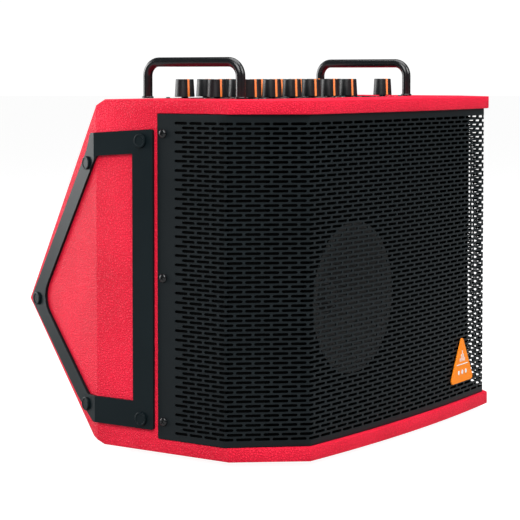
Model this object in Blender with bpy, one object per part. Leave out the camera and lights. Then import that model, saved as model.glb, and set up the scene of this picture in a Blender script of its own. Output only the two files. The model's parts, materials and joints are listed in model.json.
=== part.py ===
"""Portable guitar amplifier: wedge-backed cabinet, folded grille, side guards, handles, controls and drivers.

Lengths are metres.  Every piece is laid out in the cabinet's own frame: X to the right seen from the front,
Y backwards from the grille's front fold line, Z up from the cabinet's underside.  The empty "amplifier"
carries them all and sets the origin on the floor, under the middle of the footprint.
"""

import math
from typing import NamedTuple

import bmesh
import bpy
from mathutils import Vector

GAP = 0.0003  # between pieces that touch

# Cabinet, over its covering
WIDTH = 0.4862
HEIGHT = 0.360
BOARD = 0.014
FACE_WIDTH = 0.3746  # the grille's wide front face, fold to fold
FACE_BOW = 0.008  # how far that face bulges forward
CHAMFER_DEPTH = 0.0647
WING_LENGTH = 0.084  # the grille's flat side wing
CREASE_DEPTH = 0.2287  # where the sides turn inwards
UPPER_LEAD = 0.0045  # the upper rear face leaves the lid this far in front of that crease
APEX_DEPTH = 0.3725
APEX_HEIGHT = 0.1368
APEX_WIDTH = 0.3688
# Top and bottom boards stand out in front of the grille's folds
LIP_ACROSS = 0.0048
LIP_FRONT = 0.0036
LIP_SIDE = 0.0044
LIP_BOW = 0.010
EDGE_ROUND = 0.003

# Grille
SHEET = 0.0012

# Side guards
STRAP = 0.003
GUARD_SETBACK = 0.0037
GUARD_BAR = 0.0263
GUARD_FLOOR = 0.0228
GUARD_CEILING = 0.0297
GUARD_LOWER_ARM = 0.0275
GUARD_UPPER_ARM = 0.024
GUARD_SLOPE = math.radians(3.8)
GUARD_UPPER_MARGINS = (0.0165, 0.0069)  # strap to the cheek's upper edge, at the crease and at the apex
GUARD_LOWER_MARGINS = (0.0102, 0.0068)
GUARD_STRIP = 0.0183
GUARD_CORNER = 0.0025
GUARD_NOSE = 0.008
GUARD_CROTCH = 0.022
UPPER_HEEL, UPPER_LAP = 0.0070, 0.0155  # where the arm's end leaves its own edge and reaches the strap's
LOWER_HEEL, LOWER_LAP = 0.0040, 0.036
BOLT_FROM_BAR_EDGE = 0.0153
BOLT_UP = 0.0104
BOLT_DOWN = 0.012
UPPER_BOLT_REACH = 0.0138  # from the crease, along the strap
LOWER_BOLT_REACH = 0.0169
APEX_BOLT_INSET = 0.012
BOLT_SHANK = 0.003
BOLT_CLEARANCE = 0.0003
BOLT_LENGTH = 0.012
BOLT_FLANGE = 0.0071
BOLT_HEAD = 0.0034
BOLT_FACETS = 12

# Handles
HANDLE_TUBE = 0.005
HANDLE_COLLAR = 0.0062
HANDLE_RISE = 0.0385
HANDLE_BESIDE_PLATE = 0.015  # the handles' middle lines, out from the control plate's ends
HANDLE_FRONT = 0.095
HANDLE_REACH = 0.121
HANDLE_BEND = 0.015
HANDLE_COLLAR_HEIGHT = 0.0015

# Controls on top
KNOB_PITCH = 0.0388
KNOB_FIRST = -3.4897 * KNOB_PITCH
PLATE_WIDTH = 8 * KNOB_PITCH + 0.0036
PLATE_FRONT = 0.084
PLATE_DEPTH = 0.129
PLATE_SHEET = 0.002
PLATE_SKIRT = 0.018
KNOB_ROWS = {"front": 0.107, "middle": 0.1513, "rear": 0.194}
KNOB_COLUMNS = {"front": (0, 1, 2, 3, 4, 5, 7), "middle": range(7), "rear": range(3)}
KNOB_FOOT = 0.01075
KNOB_CROWN = 0.00965
KNOB_HEIGHT = 0.0190
KNOB_LIFT = 0.0014
KNOB_COLLAR = 0.0037
KNOB_CHAMFER = 0.0005
SHAFT = 0.003
SHAFT_CLEARANCE = 0.0005
SHAFT_DROP = 0.016
BUTTON_RADIUS = 0.0075
BUTTON_RISE = 0.006
BUTTON_SHOULDER = 0.0015
BUTTON_STEM = 0.008
BUTTON_CHAMFER = 0.0008
BUTTON_SLOT = ("middle", 7)
JACK_SLOTS = ("rear", (4, 5, 6, 7))
JACK_BORE = 0.0034
JACK_RIM = 0.0065
JACK_DEPTH = 0.044
JACK_NECK = (0.004, 0.0015)  # how far it starts below the plate's top and ends above it
PCB = 0.0016
POT_SIZE = 0.016
POT_HEIGHT = 0.008

# Drivers
WOOFER_FLANGE = 0.105
WOOFER_BASKET = 0.091
WOOFER_CENTRE = 0.140
WOOFER_DEPTH = 0.055
MAGNET_RADIUS = 0.055
MAGNET_DEPTH = 0.030
FLANGE_THICK = 0.0037
CONE_EDGE = 0.084
VOICE_COIL = 0.019
TWEETER_FLANGE = 0.042
TWEETER_BODY = 0.032
TWEETER_DEPTH = 0.028
TWEETER_SPREAD = 0.300
TWEETER_BELOW_TOP = 0.075

# Power
AMP_SIZE = (0.120, 0.100, 0.055)
BATTERY_SIZE = (0.120, 0.100, 0.065)
MODULE_SPREAD = 0.260
MODULE_BEHIND_BAFFLE = 0.008
PANEL_SIZE = (0.150, 0.064)
PANEL_SHEET = 0.002
PANEL_DOWN_SLOPE = 0.100  # its middle, down the upper rear face from the top edge
PANEL_LAP = 0.008
PANEL_ROUND = 0.0006
INLET_BODY = (0.027, 0.020)
INLET_WALL = 0.0018
INLET_FLANGE = (0.048, 0.026)
INLET_DEPTH = 0.018
INLET_LIP = 0.002
INLET_OFFSET = -0.036
SWITCH_HOLE = (0.016, 0.024)
SWITCH_OFFSET = 0.044
SWITCH_TILT = math.radians(8)
SWITCH_LIP = 0.0015
SWITCH_DROP = 0.007
SWITCH_CLEARANCE = 0.0006

# Feet
FOOT_HEIGHT = 0.006
FOOT_RADIUS = 0.013
FOOT_INSET = 0.055
REAR_FOOT_DEPTH = 0.195

# Badge
BADGE_SIDE = 0.0625
BADGE_THICK = 0.0015
BADGE_RADIUS = 0.004
BADGE_ACROSS = 0.124
BADGE_UP = 0.035

FINE, COARSE = 32, 16  # facets round large and small turned pieces

# colour, roughness, metallic
FINISHES = {
    "covering": ((0.72, 0.035, 0.075), 0.55, 0.0),
    "powder_coat": ((0.012, 0.014, 0.015), 0.45, 0.3),
    "black_plastic": ((0.012, 0.013, 0.014), 0.4, 0.0),
    "black_board": ((0.01, 0.01, 0.01), 0.8, 0.0),
    "orange_badge": ((0.85, 0.23, 0.02), 0.35, 0.0),
    "rubber": ((0.02, 0.02, 0.02), 0.85, 0.0),
    "paper_cone": ((0.03, 0.03, 0.03), 0.9, 0.0),
    "magnet": ((0.05, 0.05, 0.055), 0.5, 0.6),
    "circuit_board": ((0.02, 0.12, 0.05), 0.5, 0.0),
    "module_case": ((0.35, 0.36, 0.37), 0.4, 0.9),
    "battery_wrap": ((0.03, 0.06, 0.15), 0.5, 0.0),
}


class Face(NamedTuple):
    """An outer plane of the cabinet: a point on it and its outward unit normal."""

    point: Vector
    normal: Vector


def clear_scene():
    for obj in list(bpy.data.objects):
        bpy.data.objects.remove(obj, do_unlink=True)


def finish(name):
    found = bpy.data.materials.get(name)
    if found:
        return found
    colour, roughness, metallic = FINISHES[name]
    made = bpy.data.materials.new(name)
    made.use_nodes = True
    made.diffuse_color = (*colour, 1)
    shader = made.node_tree.nodes["Principled BSDF"]
    shader.inputs["Base Color"].default_value = (*colour, 1)
    shader.inputs["Roughness"].default_value = roughness
    shader.inputs["Metallic"].default_value = metallic
    return made


def empty(name, parent=None, location=(0, 0, 0), rotation=(0, 0, 0)):
    made = bpy.data.objects.new(name, None)
    made.parent = parent
    made.location = location
    made.rotation_euler = rotation
    bpy.context.scene.collection.objects.link(made)
    return made


def piece(name, mesh, finish_name, parent, location=(0, 0, 0), rotation=(0, 0, 0)):
    """An object of this mesh, placed in its parent's frame."""
    made = bpy.data.objects.new(name, mesh)
    if not mesh.materials:
        mesh.materials.append(finish(finish_name))
    made.parent = parent
    made.location = location
    made.rotation_euler = rotation
    bpy.context.scene.collection.objects.link(made)
    return made


def cutter(name, mesh, parent, location=(0, 0, 0), rotation=(0, 0, 0)):
    """A helper that Booleans use and renders leave out."""
    made = piece(name, mesh, "black_board", parent, location, rotation)
    made.hide_render = True
    made.display_type = "WIRE"
    return made


def combine(target, other, operation="DIFFERENCE"):
    modifier = target.modifiers.new(other.name, "BOOLEAN")
    modifier.object = other
    modifier.operation = operation
    modifier.solver = "EXACT"


def round_edges(target, width, segments=2):
    modifier = target.modifiers.new("rounding", "BEVEL")
    modifier.width = width
    modifier.segments = segments
    modifier.limit_method = "ANGLE"
    modifier.angle_limit = math.radians(50)


def mesh_of(bm, smooth=False):
    """The closed mesh that bm holds, its faces pointing out."""
    bmesh.ops.recalc_face_normals(bm, faces=bm.faces)
    if bm.calc_volume(signed=True) < 0:
        bmesh.ops.reverse_faces(bm, faces=bm.faces)
    mesh = bpy.data.meshes.new("solid")
    bm.to_mesh(mesh)
    bm.free()
    if smooth:
        mesh.shade_smooth()
        mesh.set_sharp_from_angle(angle=math.radians(35))
    return mesh


def add_prism(bm, outline, low, high):
    """Adds the plan outline to bm, standing from low to high."""
    floor = [bm.verts.new((x, y, low)) for x, y in outline]
    roof = [bm.verts.new((x, y, high)) for x, y in outline]
    bm.faces.new(floor)
    bm.faces.new(roof)
    for i in range(len(outline)):
        bm.faces.new((floor[i - 1], floor[i], roof[i], roof[i - 1]))


def prism(outline, low, high):
    bm = bmesh.new()
    add_prism(bm, outline, low, high)
    return mesh_of(bm)


def block(width, depth, low, high):
    """A box centred on the local origin in plan."""
    return prism(rectangle(-width / 2, width / 2, -depth / 2, depth / 2), low, high)


def rectangle(left, right, front, rear):
    return [(left, front), (right, front), (right, rear), (left, rear)]


def add_turned(bm, profile, steps, centre=(0, 0, 0)):
    """Adds a profile of (radius, height) points spun about Z to bm; it closes on itself where it starts off Z."""
    spun = [bm.verts.new((centre[0] + r, centre[1], centre[2] + z)) for r, z in profile]
    edges = [bm.edges.new(pair) for pair in zip(spun, spun[1:])]
    if profile[0][0] > 0:
        edges.append(bm.edges.new((spun[-1], spun[0])))
    bmesh.ops.spin(
        bm, geom=spun + edges, cent=centre, axis=(0, 0, 1), angle=math.tau, steps=steps, use_merge=True
    )
    bmesh.ops.remove_doubles(bm, verts=bm.verts, dist=1e-6)


def turned(profile, steps=COARSE):
    bm = bmesh.new()
    add_turned(bm, profile, steps)
    return mesh_of(bm, smooth=True)


def pegs(places, radius, low, high, steps=COARSE):
    """One helper mesh of equal upright pegs."""
    bm = bmesh.new()
    for x, y in places:
        add_turned(bm, [(0, low), (radius, low), (radius, high), (0, high)], steps, (x, y, 0))
    return mesh_of(bm)


def keep_inside(bm, planes):
    """Trims bm to the inner side of each plane and closes what that opens."""
    for plane in planes:
        everything = bm.verts[:] + bm.edges[:] + bm.faces[:]
        bmesh.ops.bisect_plane(
            bm, geom=everything, plane_co=plane.point, plane_no=plane.normal, clear_outer=True
        )
        opened = [edge for edge in bm.edges if edge.is_boundary]
        if opened:
            bmesh.ops.holes_fill(bm, edges=opened)


# The cabinet's outer planes


def face_through(a, b, c, inside):
    """The plane through three points, its normal turned away from a point inside."""
    normal = (Vector(b) - Vector(a)).cross(Vector(c) - Vector(a)).normalized()
    if normal.dot(Vector(inside) - Vector(a)) > 0:
        normal = -normal
    return Face(Vector(a), normal)


def cabinet_faces():
    half, narrow = WIDTH / 2, APEX_WIDTH / 2
    middle = (0, CREASE_DEPTH / 2, HEIGHT / 2)
    faces = {
        "top": Face(Vector((0, 0, HEIGHT)), Vector((0, 0, 1))),
        "bottom": Face(Vector((0, 0, 0)), Vector((0, 0, -1))),
    }
    apex_left, apex_right = (-narrow, APEX_DEPTH, APEX_HEIGHT), (narrow, APEX_DEPTH, APEX_HEIGHT)
    lid_end = (-half, CREASE_DEPTH - UPPER_LEAD, HEIGHT)
    faces["upper_rear"] = face_through(lid_end, apex_left, apex_right, middle)
    faces["lower_rear"] = face_through((-half, CREASE_DEPTH, 0), apex_left, apex_right, middle)
    for side, sign in (("left", -1), ("right", 1)):
        corner = (sign * half, CREASE_DEPTH, HEIGHT)
        faces[side + "_side"] = Face(Vector(corner), Vector((sign, 0, 0)))
        faces[side + "_cheek"] = face_through(
            corner, (sign * half, CREASE_DEPTH, 0), (sign * narrow, APEX_DEPTH, APEX_HEIGHT), middle
        )
    return faces


def mitre(own, other):
    """The plane that ends a board on its own face where a board on the other face begins."""
    across = other.normal - own.normal
    offset = (other.point.dot(other.normal) - own.point.dot(own.normal)) / across.length
    direction = across.normalized()
    return Face(direction * (offset - GAP / 2), direction)


def backs(face):
    """The two planes that make a board of one face: the face itself and the board's inner side."""
    return [face, Face(face.point - face.normal * BOARD, -face.normal)]


def rear_board(face, others):
    bm = bmesh.new()
    bmesh.ops.create_cube(bm, size=4 * max(WIDTH, HEIGHT, APEX_DEPTH))
    keep_inside(bm, backs(face) + [mitre(face, other) for other in others])
    return bm


# Plan outlines


def bowed(half_width, depth, bow, count=12):
    """Points of an arc from (-half_width, depth) to (half_width, depth), bulging forward by bow."""
    radius = (half_width**2 + bow**2) / (2 * bow)
    spread = math.asin(half_width / radius)
    angles = [spread * (2 * i / count - 1) for i in range(count + 1)]
    return [(radius * math.sin(a), depth + radius - bow - radius * math.cos(a)) for a in angles]


def chamfer_slope():
    """Depth gained for each metre outwards along the grille's angled face."""
    return CHAMFER_DEPTH / (WIDTH / 2 - FACE_WIDTH / 2)


def behind_chamfer(y, inset):
    """X of a plane behind the grille's angled face by inset, where it crosses depth y."""
    slope = chamfer_slope()
    return FACE_WIDTH / 2 + (y - inset * math.hypot(1, slope)) / slope


def depth_behind_chamfer(x, inset):
    """Depth at which the same plane crosses x."""
    slope = chamfer_slope()
    return (x - FACE_WIDTH / 2) * slope + inset * math.hypot(1, slope)


def skin():
    """From the grille's front surface to what lies behind the sheet."""
    return SHEET + GAP


def baffle_front():
    """The baffle stands where the grille's angled faces end."""
    return depth_behind_chamfer(WIDTH / 2 - skin(), skin()) + GAP


def upper_rear_slope():
    return math.atan2(HEIGHT - APEX_HEIGHT, APEX_DEPTH - CREASE_DEPTH + UPPER_LEAD)


def wing_end():
    return CHAMFER_DEPTH + WING_LENGTH


def lid_outline():
    """Plan of the top and bottom boards."""
    half = WIDTH / 2
    arc = bowed(FACE_WIDTH / 2 + LIP_ACROSS, -LIP_FRONT, LIP_BOW)
    side_corner = CHAMFER_DEPTH - LIP_SIDE
    return arc + [(half, side_corner), (half, CREASE_DEPTH), (-half, CREASE_DEPTH), (-half, side_corner)]


def side_outline(sign):
    """Plan of a side board: it steps in under the grille's wing and stops behind the baffle."""
    front, half = baffle_front() + BOARD + GAP, WIDTH / 2
    points = [
        (half - skin(), front),
        (half - skin(), wing_end() + GAP),
        (half, wing_end() + GAP),
        (half, CREASE_DEPTH + BOARD),
        (half - BOARD, CREASE_DEPTH + BOARD),
        (half - BOARD, wing_end() + BOARD),
        (half - skin() - BOARD, wing_end()),
        (half - skin() - BOARD, front),
    ]
    return [(sign * x, y) for x, y in points]


def grille_outline():
    """Plan of the folded sheet: its front surface, then its back surface returning."""
    half = WIDTH / 2
    outer = [(-half, wing_end()), (-half, CHAMFER_DEPTH)] + bowed(FACE_WIDTH / 2, 0, FACE_BOW)
    outer += [(half, CHAMFER_DEPTH), (half, wing_end())]
    inset = half - SHEET
    fold = depth_behind_chamfer(inset, SHEET)
    inner = [(inset, wing_end()), (inset, fold)]
    inner += reversed(bowed(behind_chamfer(SHEET, SHEET), SHEET, FACE_BOW))
    inner += [(-inset, fold), (-inset, wing_end())]
    return outer + inner


# Side guard, worked out on the unfolded side: s runs backwards from the crease, z up


def turn_angle():
    """How far the cheek turns in from the side."""
    return math.atan2((WIDTH - APEX_WIDTH) / 2, APEX_DEPTH - CREASE_DEPTH)


def cheek_length():
    return math.hypot((WIDTH - APEX_WIDTH) / 2, APEX_DEPTH - CREASE_DEPTH)


def crossing(a, along_a, b, along_b):
    """Where two lines of the (s, z) plane meet."""
    determinant = along_a.x * along_b.y - along_a.y * along_b.x
    apart = b - a
    return a + along_a * ((apart.x * along_b.y - apart.y * along_b.x) / determinant)


def strap_line(upper, inset):
    """A line this far inside the outer edge of the guard's upper or lower strap: a point, its direction."""
    corner = HEIGHT - UPPER_LEAD * math.tan(upper_rear_slope()) if upper else 0
    ends = Vector((0, corner)), Vector((cheek_length(), APEX_HEIGHT))
    inward = Vector((ends[1].y - ends[0].y, ends[0].x - ends[1].x)).normalized() * (1 if upper else -1)
    margins = GUARD_UPPER_MARGINS if upper else GUARD_LOWER_MARGINS
    start, end = (corner + inward * margin for corner, margin in zip(ends, margins))
    along = (end - start).normalized()
    across = Vector((along.y, -along.x)) * (1 if upper else -1)
    return start + across * inset, along


def strap_crossing(inset):
    """Where the two straps' lines at this inset meet, near the apex."""
    upper, lower = strap_line(True, inset), strap_line(False, inset)
    return crossing(upper[0], upper[1], lower[0], lower[1])


def at_reach(line, s):
    """The point of a line of the unfolded side at this s."""
    return line[0] + line[1] * ((s - line[0].x) / line[1].x)


def filleted(corners, steps=5):
    """The closed outline of (corner, radius) pairs; a corner whose radius is not 0 becomes an arc."""
    outline = []
    for i, (corner, radius) in enumerate(corners):
        if not radius:
            outline.append(corner)
            continue
        back = (corners[i - 1][0] - corner).normalized()
        ahead = (corners[(i + 1) % len(corners)][0] - corner).normalized()
        half = back.angle(ahead) / 2
        start, end = corner + back * (radius / math.tan(half)), corner + ahead * (radius / math.tan(half))
        centre = corner + (back + ahead).normalized() * (radius / math.sin(half))
        for step in range(steps + 1):
            spoke = (start - centre).normalized().slerp((end - centre).normalized(), step / steps)
            outline.append(centre + spoke * radius)
    return outline


def guard_front():
    return wing_end() + GUARD_SETBACK - CREASE_DEPTH


def upper_arm(drop):
    """A point and direction of the upper arm's top edge, or of a line this far below it."""
    start = Vector((guard_front(), HEIGHT - GUARD_CEILING - drop))
    return start, Vector((math.cos(GUARD_SLOPE), -math.sin(GUARD_SLOPE)))


def guard_loops():
    """The guard's outer and inner outline."""
    level = Vector((1, 0))
    front = guard_front()
    arm_top, arm_bottom = upper_arm(0), upper_arm(GUARD_UPPER_ARM)
    lower_in, upper_in = strap_line(False, GUARD_STRIP), strap_line(True, GUARD_STRIP)
    outer = [
        (Vector((front, GUARD_FLOOR)), GUARD_CORNER),
        (Vector((LOWER_HEEL, GUARD_FLOOR)), 0),
        (at_reach(strap_line(False, 0), LOWER_LAP), 0),
        (strap_crossing(0), GUARD_NOSE),
        (at_reach(strap_line(True, 0), UPPER_LAP), 0),
        (at_reach(arm_top, UPPER_HEEL), GUARD_CORNER),
        (arm_top[0], GUARD_CORNER),
    ]
    arm_floor = Vector((front + GUARD_BAR, GUARD_FLOOR + GUARD_LOWER_ARM))
    inner = [
        (arm_floor, 0),
        (crossing(arm_floor, level, lower_in[0], lower_in[1]), 0),
        (strap_crossing(GUARD_STRIP), GUARD_CROTCH),
        (crossing(arm_bottom[0], arm_bottom[1], upper_in[0], upper_in[1]), GUARD_CORNER),
        (at_reach(arm_bottom, front + GUARD_BAR), 0),
    ]
    return filleted(outer), filleted(inner)


def guard_bolt_places():
    """(s, z) of the five bolts of one guard, by name."""
    near_bar = guard_front() + BOLT_FROM_BAR_EDGE
    upper, lower = strap_line(True, GUARD_STRIP / 2), strap_line(False, GUARD_STRIP / 2)
    return {
        "front_upper": Vector((near_bar, HEIGHT - GUARD_CEILING - BOLT_DOWN)),
        "front_lower": Vector((near_bar, GUARD_FLOOR + BOLT_UP)),
        "rear_upper": at_reach(upper, UPPER_BOLT_REACH),
        "rear_lower": at_reach(lower, LOWER_BOLT_REACH),
        "apex": strap_crossing(APEX_BOLT_INSET),
    }


def on_side(sign, s, z, off):
    """The point of the folded side at (s, z), standing off its surface."""
    turn = turn_angle()
    along = Vector((-math.sin(turn), math.cos(turn))) if s > 0 else Vector((0, 1))
    corner = Vector((WIDTH / 2 + off, CREASE_DEPTH + off * math.tan(turn / 2)))
    plan = corner + along * s
    return Vector((sign * plan.x, plan.y, z))


def bolt_hole(spot):
    turns = [math.tau * step / BOLT_FACETS for step in range(BOLT_FACETS)]
    return [spot + (BOLT_SHANK + BOLT_CLEARANCE) * Vector((math.cos(a), math.sin(a))) for a in turns]


def guard_mesh(sign):
    bm = bmesh.new()
    for loop in (*guard_loops(), *map(bolt_hole, guard_bolt_places().values())):
        corners = [bm.verts.new((p.x, p.y, 0)) for p in loop]
        for a, b in zip(corners, corners[1:] + corners[:1]):
            bm.edges.new((a, b))
    bmesh.ops.triangle_fill(bm, use_beauty=True, use_dissolve=False, edges=bm.edges[:], normal=(0, 0, 1))
    everything = bm.verts[:] + bm.edges[:] + bm.faces[:]
    bmesh.ops.bisect_plane(bm, geom=everything, plane_co=(0, 0, 0), plane_no=(1, 0, 0))
    raised = bmesh.ops.extrude_face_region(bm, geom=bm.faces[:])["geom"]
    top = [part for part in raised if isinstance(part, bmesh.types.BMVert)]
    bmesh.ops.translate(bm, verts=top, vec=(0, 0, STRAP))
    for vert in bm.verts:
        place = on_side if abs(vert.co.x) < GAP else on_side_normal  # the fold keeps its mitre
        vert.co = place(sign, vert.co.x, vert.co.y, GAP + vert.co.z)
    return mesh_of(bm)


def outward_heading(sign, s):
    """Plan direction, from +X, that faces out of the side or the cheek."""
    turn = turn_angle() if s > 0 else 0
    return turn if sign > 0 else math.pi - turn


def peg_outwards(sign, s, z, off):
    """Location and rotation that stand a turned piece's Z out of the side at (s, z)."""
    return on_side_normal(sign, s, z, off), (0, math.pi / 2, outward_heading(sign, s))


def on_side_normal(sign, s, z, off):
    heading = outward_heading(sign, s)
    return on_side(sign, s, z, 0) + off * Vector((math.cos(heading), math.sin(heading), 0))


# Sub-assemblies


def build_cabinet(root):
    faces = cabinet_faces()
    top = piece("top_board", prism(lid_outline(), HEIGHT - BOARD, HEIGHT), "covering", root)
    bottom = piece("bottom_board", prism(lid_outline(), 0, BOARD), "covering", root)
    for lid, near, far in ((top, "top", "upper_rear"), (bottom, "bottom", "lower_rear")):
        bm = bmesh.new()
        bm.from_mesh(lid.data)
        keep_inside(bm, [mitre(faces[near], faces[far])])
        bm.to_mesh(lid.data)
        bm.free()
        round_edges(lid, EDGE_ROUND)
    lid_planes = [
        mitre(faces["upper_rear"], faces["top"]),
        mitre(faces["lower_rear"], faces["bottom"]),
    ]
    rears = {"upper_rear": "lower_rear", "lower_rear": "upper_rear"}
    boards = {}
    for name, opposite in rears.items():
        sides = ("left_side", "right_side", "left_cheek", "right_cheek")
        lid = "top" if name == "upper_rear" else "bottom"
        bm = rear_board(faces[name], [faces[other] for other in (opposite, lid, *sides)])
        boards[name] = piece(name + "_board", mesh_of(bm), "covering", root)
    for side, sign in (("left", -1), ("right", 1)):
        cheek = faces[side + "_cheek"]
        bm = rear_board(cheek, [faces[side + "_side"], faces["upper_rear"], faces["lower_rear"]])
        keep_inside(bm, lid_planes)
        boards[side + "_cheek"] = piece(side + "_rear_cheek", mesh_of(bm), "covering", root)
        bm = bmesh.new()
        add_prism(bm, side_outline(sign), BOARD + GAP, HEIGHT - BOARD - GAP)
        bmesh.ops.recalc_face_normals(bm, faces=bm.faces)
        own = faces[side + "_side"]
        keep_inside(bm, [mitre(own, faces[other]) for other in (side + "_cheek", "upper_rear", "lower_rear")])
        boards[side + "_side"] = piece(side + "_side_board", mesh_of(bm), "covering", root)
    boards["top"] = top
    return boards


def build_baffle(root):
    front, half = baffle_front(), WIDTH / 2 - skin()
    outline = rectangle(-half, half, front, front + BOARD)
    baffle = piece("baffle_board", prism(outline, BOARD + GAP, HEIGHT - BOARD - GAP), "black_board", root)
    openings = (
        ("woofer_hole", 0, WOOFER_CENTRE, WOOFER_BASKET, FINE),
        ("left_tweeter_hole", -TWEETER_SPREAD / 2, HEIGHT - TWEETER_BELOW_TOP, TWEETER_BODY, COARSE),
        ("right_tweeter_hole", TWEETER_SPREAD / 2, HEIGHT - TWEETER_BELOW_TOP, TWEETER_BODY, COARSE),
    )
    for name, x, z, radius, steps in openings:
        hole = pegs([(0, 0)], radius + 2 * GAP, -BOARD, 2 * BOARD, steps)
        combine(baffle, cutter(name, hole, root, (x, front, z), (-math.pi / 2, 0, 0)))


def build_grille(root):
    low, high = BOARD + GAP, HEIGHT - BOARD - GAP
    piece("front_grille", prism(grille_outline(), low, high), "powder_coat", root)
    bow_radius = ((FACE_WIDTH / 2) ** 2 + FACE_BOW**2) / (2 * FACE_BOW)
    lean = math.asin(BADGE_ACROSS / bow_radius)
    surface = bow_radius - FACE_BOW - bow_radius * math.cos(lean)
    sagitta = bow_radius - math.sqrt(bow_radius**2 - (BADGE_SIDE / 2) ** 2)
    centre = BADGE_RADIUS
    corner_reach = BADGE_SIDE / 2 - centre * math.sqrt(3)
    peak = BADGE_SIDE * math.sqrt(3) / 2 - 2 * centre
    outline = []
    for (x, z), start in (((-corner_reach, centre), 150), ((corner_reach, centre), 270), ((0, peak), 30)):
        for step in range(5):
            angle = math.radians(start + 30 * step)
            outline.append((x + centre * math.cos(angle), z + centre * math.sin(angle)))
    stand_off = GAP + sagitta
    place = (
        BADGE_ACROSS + stand_off * math.sin(lean),
        surface - stand_off * math.cos(lean),
        BADGE_UP,
    )
    badge = prism(outline, 0, BADGE_THICK)
    piece("grille_badge", badge, "orange_badge", root, place, (math.pi / 2, 0, lean))


def build_guards(root, boards):
    bolt = turned(
        [
            (0, -BOLT_LENGTH),
            (BOLT_SHANK, -BOLT_LENGTH),
            (BOLT_SHANK, 0),
            (BOLT_FLANGE, 0),
            (BOLT_FLANGE, 0.35 * BOLT_HEAD),
            (0.7 * BOLT_FLANGE, 0.75 * BOLT_HEAD),
            (0.4 * BOLT_FLANGE, BOLT_HEAD),
            (0, BOLT_HEAD),
        ],
        BOLT_FACETS,
    )
    hole = pegs([(0, 0)], BOLT_SHANK + BOLT_CLEARANCE, -BOLT_LENGTH - GAP, BOLT_HEAD, BOLT_FACETS)
    for side, sign in (("left", -1), ("right", 1)):
        piece(side + "_side_guard", guard_mesh(sign), "powder_coat", root)
        for name, spot in guard_bolt_places().items():
            place, rotation = peg_outwards(sign, spot.x, spot.y, 2 * GAP + STRAP)
            full_name = side + "_guard_bolt_" + name
            piece(full_name, bolt, "powder_coat", root, place, rotation)
            drill = cutter(full_name + "_hole", hole, root, place, rotation)
            combine(boards[side + ("_cheek" if spot.x > 0 else "_side")], drill)


def handle_path():
    """(Y, Z, radius) along a handle's centre line, from its front collar to its rear one."""
    rise = HANDLE_RISE - HANDLE_BEND
    collar = HANDLE_COLLAR_HEIGHT
    points = [(0, 0, HANDLE_COLLAR), (0, collar, HANDLE_COLLAR), (0, 1.3 * collar, HANDLE_TUBE)]
    turns = 5
    for corner, start in ((HANDLE_BEND, 180), (HANDLE_REACH - HANDLE_BEND, 90)):
        for step in range(turns + 1):
            angle = math.radians(start - 90 * step / turns)
            y = corner + HANDLE_BEND * math.cos(angle)
            points.append((y, rise + HANDLE_BEND * math.sin(angle), HANDLE_TUBE))
    points += [(HANDLE_REACH, z, radius) for _, z, radius in reversed(points[:3])]
    return points


def build_handles(root):
    for side, sign in (("left", -1), ("right", 1)):
        curve = bpy.data.curves.new(side + "_handle", "CURVE")
        curve.dimensions = "3D"
        curve.bevel_depth = 1
        curve.bevel_resolution = 3
        curve.use_fill_caps = True
        curve.twist_mode = "MINIMUM"
        spline = curve.splines.new("POLY")
        path = handle_path()
        spline.points.add(len(path) - 1)
        for point, (y, z, radius) in zip(spline.points, path):
            point.co = (0, y, z, 1)
            point.radius = radius
        curve.materials.append(finish("powder_coat"))
        handle = bpy.data.objects.new(side + "_handle", curve)
        handle.parent = root
        handle.location = (sign * (PLATE_WIDTH / 2 + HANDLE_BESIDE_PLATE), HANDLE_FRONT, HEIGHT + GAP)
        bpy.context.scene.collection.objects.link(handle)


def control_spot(row, column):
    return KNOB_FIRST + column * KNOB_PITCH, KNOB_ROWS[row]


def knob_spots():
    """(name, x, y) of every knob."""
    for row, columns in KNOB_COLUMNS.items():
        for column in columns:
            yield (f"{row}_knob_{column + 1}", *control_spot(row, column))


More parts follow.
